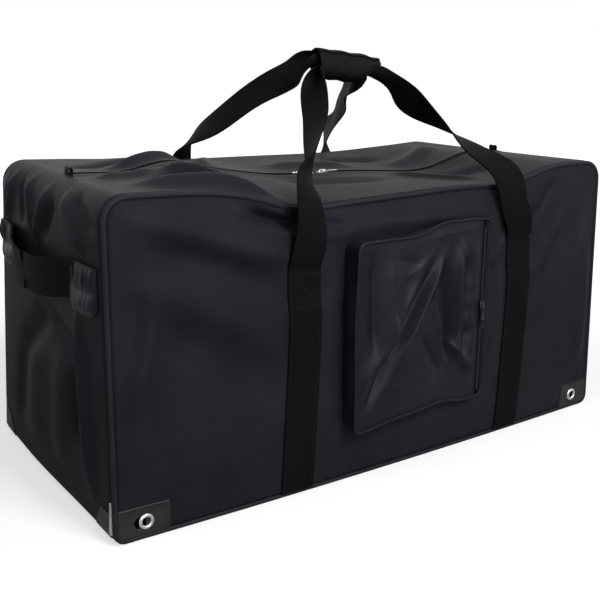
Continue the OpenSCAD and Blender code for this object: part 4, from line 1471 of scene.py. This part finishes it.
def pull_plate(name):
    """Zip pull at the origin: its eye round the crown's bar at x = 0 and its plate along -X."""
    length = PULL_HIGH.x - PULL_LOW.x - 0.001
    width = PULL_HIGH.y - PULL_LOW.y
    count = 40
    outline_points = []
    hole = []
    for i in range(count):
        turn = 2 * math.pi * i / count
        c = math.cos(turn)
        s = math.sin(turn)
        waist = 1.0 - 0.30 * math.exp(-((c - 0.15) / 0.45) ** 2)
        outline_points.append((-length / 2 + 0.001 + c * length / 2,
                               math.copysign(abs(s) ** 0.55, s) * width / 2 * waist))
        hole.append((-length + 0.0085 + c * 0.0048, s * 0.0022))
    points = [(x, y, 0.0) for x, y in outline_points] + [(x, y, 0.0) for x, y in hole]
    faces = [(i, (i + 1) % count, count + (i + 1) % count, count + i) for i in range(count)]
    bpy.ops.object.select_all(action="DESELECT")
    bpy.ops.mesh.primitive_plane_add(size=0.01)
    piece = named(name)
    fill_mesh(piece, points, faces)
    apply_modifier(piece, "SOLIDIFY", thickness=0.0014, offset=0.0)
    apply_modifier(piece, "BEVEL", width=0.00035, segments=2, limit_method="ANGLE")
    return piece


def move_points(piece, turn, shift):
    set_points(piece, points_of(piece) @ np.array(turn, float).T + np.array(shift, float))


class BAG_OT_sliders(bpy.types.Operator):
    """Sliders and pulls of the main zip"""

    bl_idname = "bag.sliders"
    bl_label = "Main sliders"

    def execute(self, context):
        middle = (SLIDER_LOW.x + SLIDER_HIGH.x) / 2
        zip_z = HEIGHT - float(profile(ZIP_SAG, np.array(0.0))) - 0.0015
        pull_z = (PULL_LOW.z + PULL_HIGH.z) / 2
        for side, word in ((-1, "left"), (1, "right")):
            turn = ((-side, 0, 0), (0, -side, 0), (0, 0, 1))
            piece = slider_body(word + "_slider_metal")
            move_points(piece, turn, (side * middle, 0, zip_z))
            smooth(piece, 40)
            dress(piece, plated_nickel(), [word + "_zip_slider"])
            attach(piece, word + "_slider")
            pull = pull_plate(word + "_pull_metal")
            move_points(pull, turn, (side * (PULL_LOW.x + 0.001), 0, pull_z))
            smooth(pull, 40)
            dress(pull, plated_nickel(), [word + "_zip_pull"])
            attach(pull, word + "_pull")
        return {"FINISHED"}


# Depth of the pocket at its right-hand edge, hem of its face, gap beside its zip, and its cloth
POCKET_SHALLOW = 0.024
POCKET_HEM = 0.0035
POCKET_ZIP_GAP = 0.0062
POCKET_CLOTH = 0.0014
# The pocket's own directions: along its slanting face, and out of it
POCKET_RUN = math.hypot(POCKET_W, FACE_Y + POCKET_SHALLOW + POCKET_FRONT)
POCKET_ALONG = np.array((POCKET_W, -(FACE_Y + POCKET_SHALLOW) - POCKET_FRONT, 0.0)) / POCKET_RUN
POCKET_OUT = np.array((POCKET_ALONG[1], -POCKET_ALONG[0], 0.0))
POCKET_ORIGIN = np.array((POCKET_LOW.x, POCKET_FRONT, POCKET_LOW.z))
POCKET_R = 0.0025
POCKET_CORNER = 0.014
# How far the slack top and bottom edges of the pocket wander up and down along it
POCKET_TOP = ((0.0, -0.001), (0.075, -0.004), (0.135, -0.003), (0.165, 0.005), (0.205, 0.005),
              (0.240, 0.003), (0.262, 0.0), (0.281, 0.0))
POCKET_FOOT = ((0.0, -0.003), (0.04, -0.001), (0.085, 0.003), (0.150, 0.006), (0.182, 0.008),
               (0.208, 0.005), (0.240, -0.001), (0.262, 0.0), (0.281, 0.0))


def on_pocket(u, v, rise):
    """Place on the pocket: u along its face, v up it, rise off its plane."""
    up = ease(v / POCKET_H)
    wander = profile(POCKET_TOP, u) * up ** 2 + profile(POCKET_FOOT, u) * (1 - up) ** 2
    wander = wander + 0.012 * u / POCKET_RUN * up
    sway = 0.0016 * np.sin(v * 26 + 0.5) * ease((0.06 - u) / 0.06)
    along_face = np.multiply.outer(u + sway, POCKET_ALONG)
    place = POCKET_ORIGIN + along_face + np.multiply.outer(rise - POCKET_R, POCKET_OUT)
    place[..., 2] += v + wander
    return place


def pocket_rim(inset, count):
    """Evenly spaced u, v round the pocket's face."""
    radius = POCKET_CORNER - inset
    points = [(POCKET_RUN / 2, inset)]
    right = POCKET_RUN - POCKET_CORNER
    high = POCKET_H - POCKET_CORNER
    corners = ((right, POCKET_CORNER, -90), (right, high, 0), (POCKET_CORNER, high, 90),
               (POCKET_CORNER, POCKET_CORNER, 180))
    for cu, cv, start in corners:
        for step in range(9):
            turn = math.radians(start + step * 90 / 8)
            points.append((cu + radius * math.cos(turn), cv + radius * math.sin(turn)))
    points.append(points[0])
    return even(np.array(points), count + 1)[:-1]


class BAG_OT_pocket(bpy.types.Operator):
    """Slack outer pocket: face, gusset and piped rim"""

    bl_idname = "bag.pocket"
    bl_label = "Pocket"

    def execute(self, context):
        face = pocket_face()
        dress(face, pocket_cloth(), ["pocket_face"])
        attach(face, "bag")
        rim = pocket_rim(POCKET_R, 240)
        cord = tube("pocket_piping_cord", on_pocket(rim[:, 0], rim[:, 1], np.zeros(len(rim))),
                    POCKET_R, 10, closed=True)
        dress(cord, pocket_cloth(), ["pocket_piping"])
        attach(cord, "bag")
        border = pocket_border()
        dress(border, pocket_cloth(), ["pocket_face"])
        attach(border, "bag")
        wall = pocket_gusset()
        # The wall wears the pocket cloth's second tone, a painted shade level
        dress(wall, wall_shade_level_cloth(), ["pocket_gusset"])
        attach(wall, "bag")
        return {"FINISHED"}


def pocket_zip_u():
    """Place of the pocket's zip along its face."""
    low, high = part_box("pocket_zip_coil")
    return ((low.x + high.x) / 2 - POCKET_ORIGIN[0]) / POCKET_ALONG[0]


def pocket_border():
    """Strip of the face between the zip and the right-hand rim."""
    piece, u, v = add_grid("pocket_border_cloth", 10, 120)
    inner = pocket_zip_u() + POCKET_ZIP_GAP
    a = inner + u * (POCKET_RUN - POCKET_HEM - inner)
    b = POCKET_HEM + v * (POCKET_H - 2 * POCKET_HEM)
    rise = (0.0012 + 0.0006 * np.sin(v * 31)) * np.sin(np.pi * u)
    set_points(piece, on_pocket(a, b, rise))
    set_uv(piece, a, b)
    thicken(piece, POCKET_CLOTH, lambda p: POCKET_OUT)
    smooth(piece)
    return piece


def pocket_face():
    """Slack cloth of the pocket, held at its rim and along its zip."""
    piece, u, v = add_grid("pocket_face_cloth", 160, 170)
    zip_edge = pocket_zip_u() - POCKET_ZIP_GAP
    a = POCKET_HEM + u * (zip_edge - POCKET_HEM)
    b = POCKET_HEM + v * (POCKET_H - 2 * POCKET_HEM)
    from_sides = np.minimum(a - POCKET_HEM, zip_edge - a)
    edge = np.minimum(from_sides, np.minimum(b - POCKET_HEM, POCKET_H - POCKET_HEM - b))
    swell = 0.009 * np.sin(np.pi * u) ** 0.7 * np.sin(np.pi * v) ** 0.7
    pucker = 0.0014 * np.sin(b * 170 + 2 * np.sin(b * 40)) * np.exp((a - zip_edge) / 0.022)
    rise = swell * ease(edge / 0.012) + (folds(POCKET_FOLDS, a, b, 0.6) + pucker) * ease(edge / 0.016)
    set_points(piece, on_pocket(a, b, rise))
    set_uv(piece, a, b)
    thicken(piece, POCKET_CLOTH, lambda p: POCKET_OUT)
    smooth(piece)
    return piece


def pocket_gusset():
    """Wall of the pocket from its rim back to the panel."""
    count = 240
    rim = pocket_rim(0.0012, count)
    piece, u, v = add_grid("pocket_gusset_cloth", count, 12)
    column = np.rint(u * count).astype(int) % count
    front = on_pocket(rim[column, 0], rim[column, 1], np.zeros(len(u)))
    foot = rim[column] - (rim[column] - (POCKET_RUN / 2, POCKET_H / 2)) * 0.012
    x = POCKET_LOW.x + foot[:, 0] * POCKET_ALONG[0]
    back = on_panel(-1, x, POCKET_LOW.z + foot[:, 1], 0.0004)
    slack = np.sin(np.pi * v) * (0.0015 * np.sin(u * 60) + 0.0015 * np.sin(u * 23) - 0.002)
    middle = POCKET_ORIGIN + POCKET_ALONG * POCKET_RUN / 2 + (0, 0, POCKET_H / 2)
    inward = middle - front
    inward[:, 1] = 0
    inward = inward / np.linalg.norm(inward, axis=1)[:, None]
    place = back + v[:, None] * (front - back) + slack[:, None] * inward
    set_points(piece, place)
    set_uv(piece, u * 1.1, v * 0.04)
    make_active(piece)
    bpy.ops.object.mode_set(mode="EDIT")
    bpy.ops.mesh.select_all(action="SELECT")
    bpy.ops.mesh.remove_doubles(threshold=1e-6)
    bpy.ops.object.mode_set(mode="OBJECT")
    thicken(piece, POCKET_CLOTH, lambda p: p - middle)
    smooth(piece)
    return piece


class BAG_OT_pocket_zip(bpy.types.Operator):
    """Zip up the right-hand edge of the pocket"""

    bl_idname = "bag.pocket_zip"
    bl_label = "Pocket zip"

    def execute(self, context):
        centre = pocket_zip_u()
        strips = []
        for side in (-1, 1):
            piece, u, v = add_grid("strip", 6, 80)
            a = centre + side * (0.0015 + u * 0.0085)
            b = 0.006 + v * (POCKET_H - 0.012)
            set_points(piece, on_pocket(a, b, np.full(len(a), -0.0006)))
            set_uv(piece, a, b)
            thicken(piece, 0.001, lambda p: POCKET_OUT)
            strips.append(piece)
        tape = join("pocket_zip_tape_cloth", strips)
        smooth(tape)
        dress(tape, woven_tape(), ["pocket_zip_tape"])
        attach(tape, "bag")
        coil = pocket_coil(centre)
        dress(coil, coil_plastic(), ["pocket_zip_coil"])
        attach(coil, "bag")
        turn = np.column_stack(((0, 0, 1), POCKET_ALONG * -1, POCKET_OUT))
        z = (POCKET_SLIDER[0].z + POCKET_SLIDER[1].z) / 2
        seat = POCKET_ORIGIN + centre * POCKET_ALONG - POCKET_R * POCKET_OUT
        seat[2] = z
        slider = slider_body("pocket_slider_metal")
        move_points(slider, turn, seat)
        smooth(slider, 40)
        dress(slider, dark_metal(), ["pocket_zip_slider"])
        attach(slider, "pocket_slider")
        pull = pull_plate("pocket_pull_metal")
        seat = seat + POCKET_OUT * 0.0045
        seat[2] = POCKET_PULL[1].z - 0.001
        move_points(pull, turn, seat)
        smooth(pull, 40)
        dress(pull, dark_metal(), ["pocket_zip_pull"])
        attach(pull, "pocket_pull")
        return {"FINISHED"}


def pocket_coil(centre):
    """Both sides of the pocket's coil."""
    low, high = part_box("pocket_zip_coil")
    count = int((high.z - low.z) / COIL_PITCH)
    seats = []
    for side in (-1, 1):
        b = low.z - POCKET_LOW.z + coil_places(side, count)
        seats.append(on_pocket(np.full(count, centre + side * COIL_OFF), b, np.zeros(count)))
    return coil_turns("pocket_zip_coil_turns", np.concatenate(seats), (0, math.pi / 2, 0), 1.0)


class BAG_OT_stage(bpy.types.Operator):
    """Pale floor, soft lamps, white surroundings and the camera"""

    bl_idname = "bag.stage"
    bl_label = "Stage"

    def execute(self, context):
        make_floor()
        make_world()
        make_lamps()
        make_camera()
        context.scene.view_settings.view_transform = "Standard"
        return {"FINISHED"}


def make_floor():
    """Pale floor that keeps the bag's shadow and turns to plain white away from it."""
    bpy.ops.object.select_all(action="DESELECT")
    bpy.ops.mesh.primitive_plane_add(size=30.0, location=(0, 0, 0))
    floor = named("floor")
    material, shader = new_material("pale floor", (0.40, 0.40, 0.40), 0.9, specular=0.0)
    light_path = add_node(material, "ShaderNodeLightPath")
    place = add_node(material, "ShaderNodeTexCoord")
    away = material.node_tree.nodes.new("ShaderNodeVectorMath")
    away.operation = "LENGTH"
    wire(material, place.outputs["Object"], away.inputs[0])
    seen = mixed(material, "MULTIPLY", light_path.outputs["Is Camera Ray"],
                 whitening(material, away, 0.5, 1.8, 0.58))
    mirrored = mixed(material, "MAXIMUM", light_path.outputs["Is Glossy Ray"],
                     light_path.outputs["Is Transmission Ray"])
    mirrored = mixed(material, "MULTIPLY", mirrored, whitening(material, away, 1.5, 5.0, 0.05))
    shader.inputs["Emission Color"].default_value = (1.0, 1.0, 1.0, 1.0)
    wire(material, mixed(material, "ADD", seen, mirrored), shader.inputs["Emission Strength"])
    floor.data.materials.append(material)


def whitening(material, away, near, far, least):
    """Strength that grows to 1, which is white, between two distances."""
    spread = add_node(material, "ShaderNodeMapRange")
    spread.interpolation_type = "SMOOTHSTEP"
    spread.inputs["From Min"].default_value = near
    spread.inputs["From Max"].default_value = far
    spread.inputs["To Min"].default_value = least
    wire(material, away.outputs["Value"], spread.inputs["Value"])
    return spread.outputs["Result"]


def make_world():
    """Room that lights the bag dimly and is white to the camera and in gloss."""
    world = bpy.data.worlds.new("white room")
    bpy.context.scene.world = world
    world.use_nodes = True
    tree = world.node_tree
    light_path = tree.nodes.new("ShaderNodeLightPath")
    dim = tree.nodes["Background"]
    dim.inputs["Color"].default_value = (1.0, 1.0, 1.0, 1.0)
    dim.inputs["Strength"].default_value = 0.22
    white = tree.nodes.new("ShaderNodeBackground")
    white.inputs["Color"].default_value = (1.0, 1.0, 1.0, 1.0)
    white.inputs["Strength"].default_value = 1.0
    choose = tree.nodes.new("ShaderNodeMixShader")
    seen = light_path.outputs["Is Camera Ray"]
    for ray in ("Is Glossy Ray", "Is Transmission Ray"):
        either = tree.nodes.new("ShaderNodeMath")
        either.operation = "MAXIMUM"
        tree.links.new(seen, either.inputs[0])
        tree.links.new(light_path.outputs[ray], either.inputs[1])
        seen = either.outputs["Value"]
    tree.links.new(seen, choose.inputs["Fac"])
    tree.links.new(dim.outputs["Background"], choose.inputs[1])
    tree.links.new(white.outputs["Background"], choose.inputs[2])
    tree.links.new(choose.outputs["Shader"], tree.nodes["World Output"].inputs["Surface"])


def make_lamps():
    """Soft boxes: name, place, aim, size and power."""
    rows = (("key", (0.25, -2.3, 2.4), (0.0, 0.0, 0.2), 1.0, 85.0),
            ("fill", (-0.5, -2.6, 0.9), (0.0, 0.0, 0.25), 1.4, 30.0),
            ("top", (-1.2, -0.3, 2.4), (-0.3, 0.0, 0.3), 0.6, 7.0),
            ("left", (-2.4, -0.6, 1.7), (-0.4, 0.0, 0.25), 0.5, 8.5),
            ("back", (0.6, 2.4, 1.6), (0.0, 0.0, 0.3), 1.8, 1.5))
    for name, place, aim, size, power in rows:
        bpy.ops.object.light_add(type="AREA", location=place)
        lamp = bpy.context.active_object
        lamp.name = name + " lamp"
        lamp.data.size = size
        lamp.data.energy = power
        lamp.rotation_mode = "QUATERNION"
        lamp.rotation_quaternion = (Vector(aim) - Vector(place)).to_track_quat("-Z", "Y")


def make_camera():
    """Camera solved from the corners of the bag in the photograph."""
    eye = Vector((-0.8368, -1.185, 0.606))
    yaw, pitch, roll = (math.radians(a) for a in (34.311, 11.903, 0.830))
    focal_px, frame_px, shift_px = 864.7, 600.0, 50.0
    ahead = Vector((math.sin(yaw) * math.cos(pitch), math.cos(yaw) * math.cos(pitch), -math.sin(pitch)))
    right = Vector((math.cos(yaw), -math.sin(yaw), 0.0))
    up = right.cross(ahead)
    across = right * math.cos(roll) + up * math.sin(roll)
    upright = up * math.cos(roll) - right * math.sin(roll)
    bpy.ops.object.camera_add()
    camera = bpy.context.active_object
    camera.name = "camera"
    turn = Matrix((across, upright, -ahead)).transposed().to_4x4()
    camera.matrix_world = Matrix.Translation(eye) @ turn
    camera.data.sensor_width = 36.0
    camera.data.lens = focal_px / frame_px * camera.data.sensor_width
    camera.data.shift_y = -shift_px / frame_px
    bpy.context.scene.camera = camera


STEPS = ("stage", "panels", "ends", "base", "top", "piping", "patches", "eyelets", "straps",
         "carry_handles", "grip", "end_handles", "zip", "zip_tabs", "sliders", "pocket", "pocket_zip")


class BAG_PT_sidebar(bpy.types.Panel):
    """Lists the pieces of the bag"""

    bl_label = "Equipment bag"
    bl_idname = "BAG_PT_sidebar"
    bl_space_type = "VIEW_3D"
    bl_region_type = "UI"
    bl_category = "Bag"

    def draw(self, context):
        for step in STEPS:
            self.layout.operator("bag." + step)
        for group in (context.scene.bag_sizes, context.scene.bag_colours):
            for key in group.__annotations__:
                self.layout.prop(group, key)


CLASSES = (BagSizes, BagColours, BAG_OT_stage, BAG_OT_panels, BAG_OT_ends, BAG_OT_base, BAG_OT_top,
           BAG_OT_piping, BAG_OT_patches, BAG_OT_eyelets, BAG_OT_straps, BAG_OT_carry_handles,
           BAG_OT_grip, BAG_OT_end_handles, BAG_OT_zip, BAG_OT_zip_tabs, BAG_OT_sliders,
           BAG_OT_pocket, BAG_OT_pocket_zip, BAG_PT_sidebar)


def register():
    for cls in CLASSES:
        bpy.utils.register_class(cls)
    bpy.types.Scene.bag_sizes = bpy.props.PointerProperty(type=BagSizes)
    bpy.types.Scene.bag_colours = bpy.props.PointerProperty(type=BagColours)


def unregister():
    del bpy.types.Scene.bag_sizes
    del bpy.types.Scene.bag_colours
    for cls in reversed(CLASSES):
        bpy.utils.unregister_class(cls)


def main():
    register()
    for step in STEPS:
        getattr(bpy.ops.bag, step)()


if __name__ == "__main__":
    main()
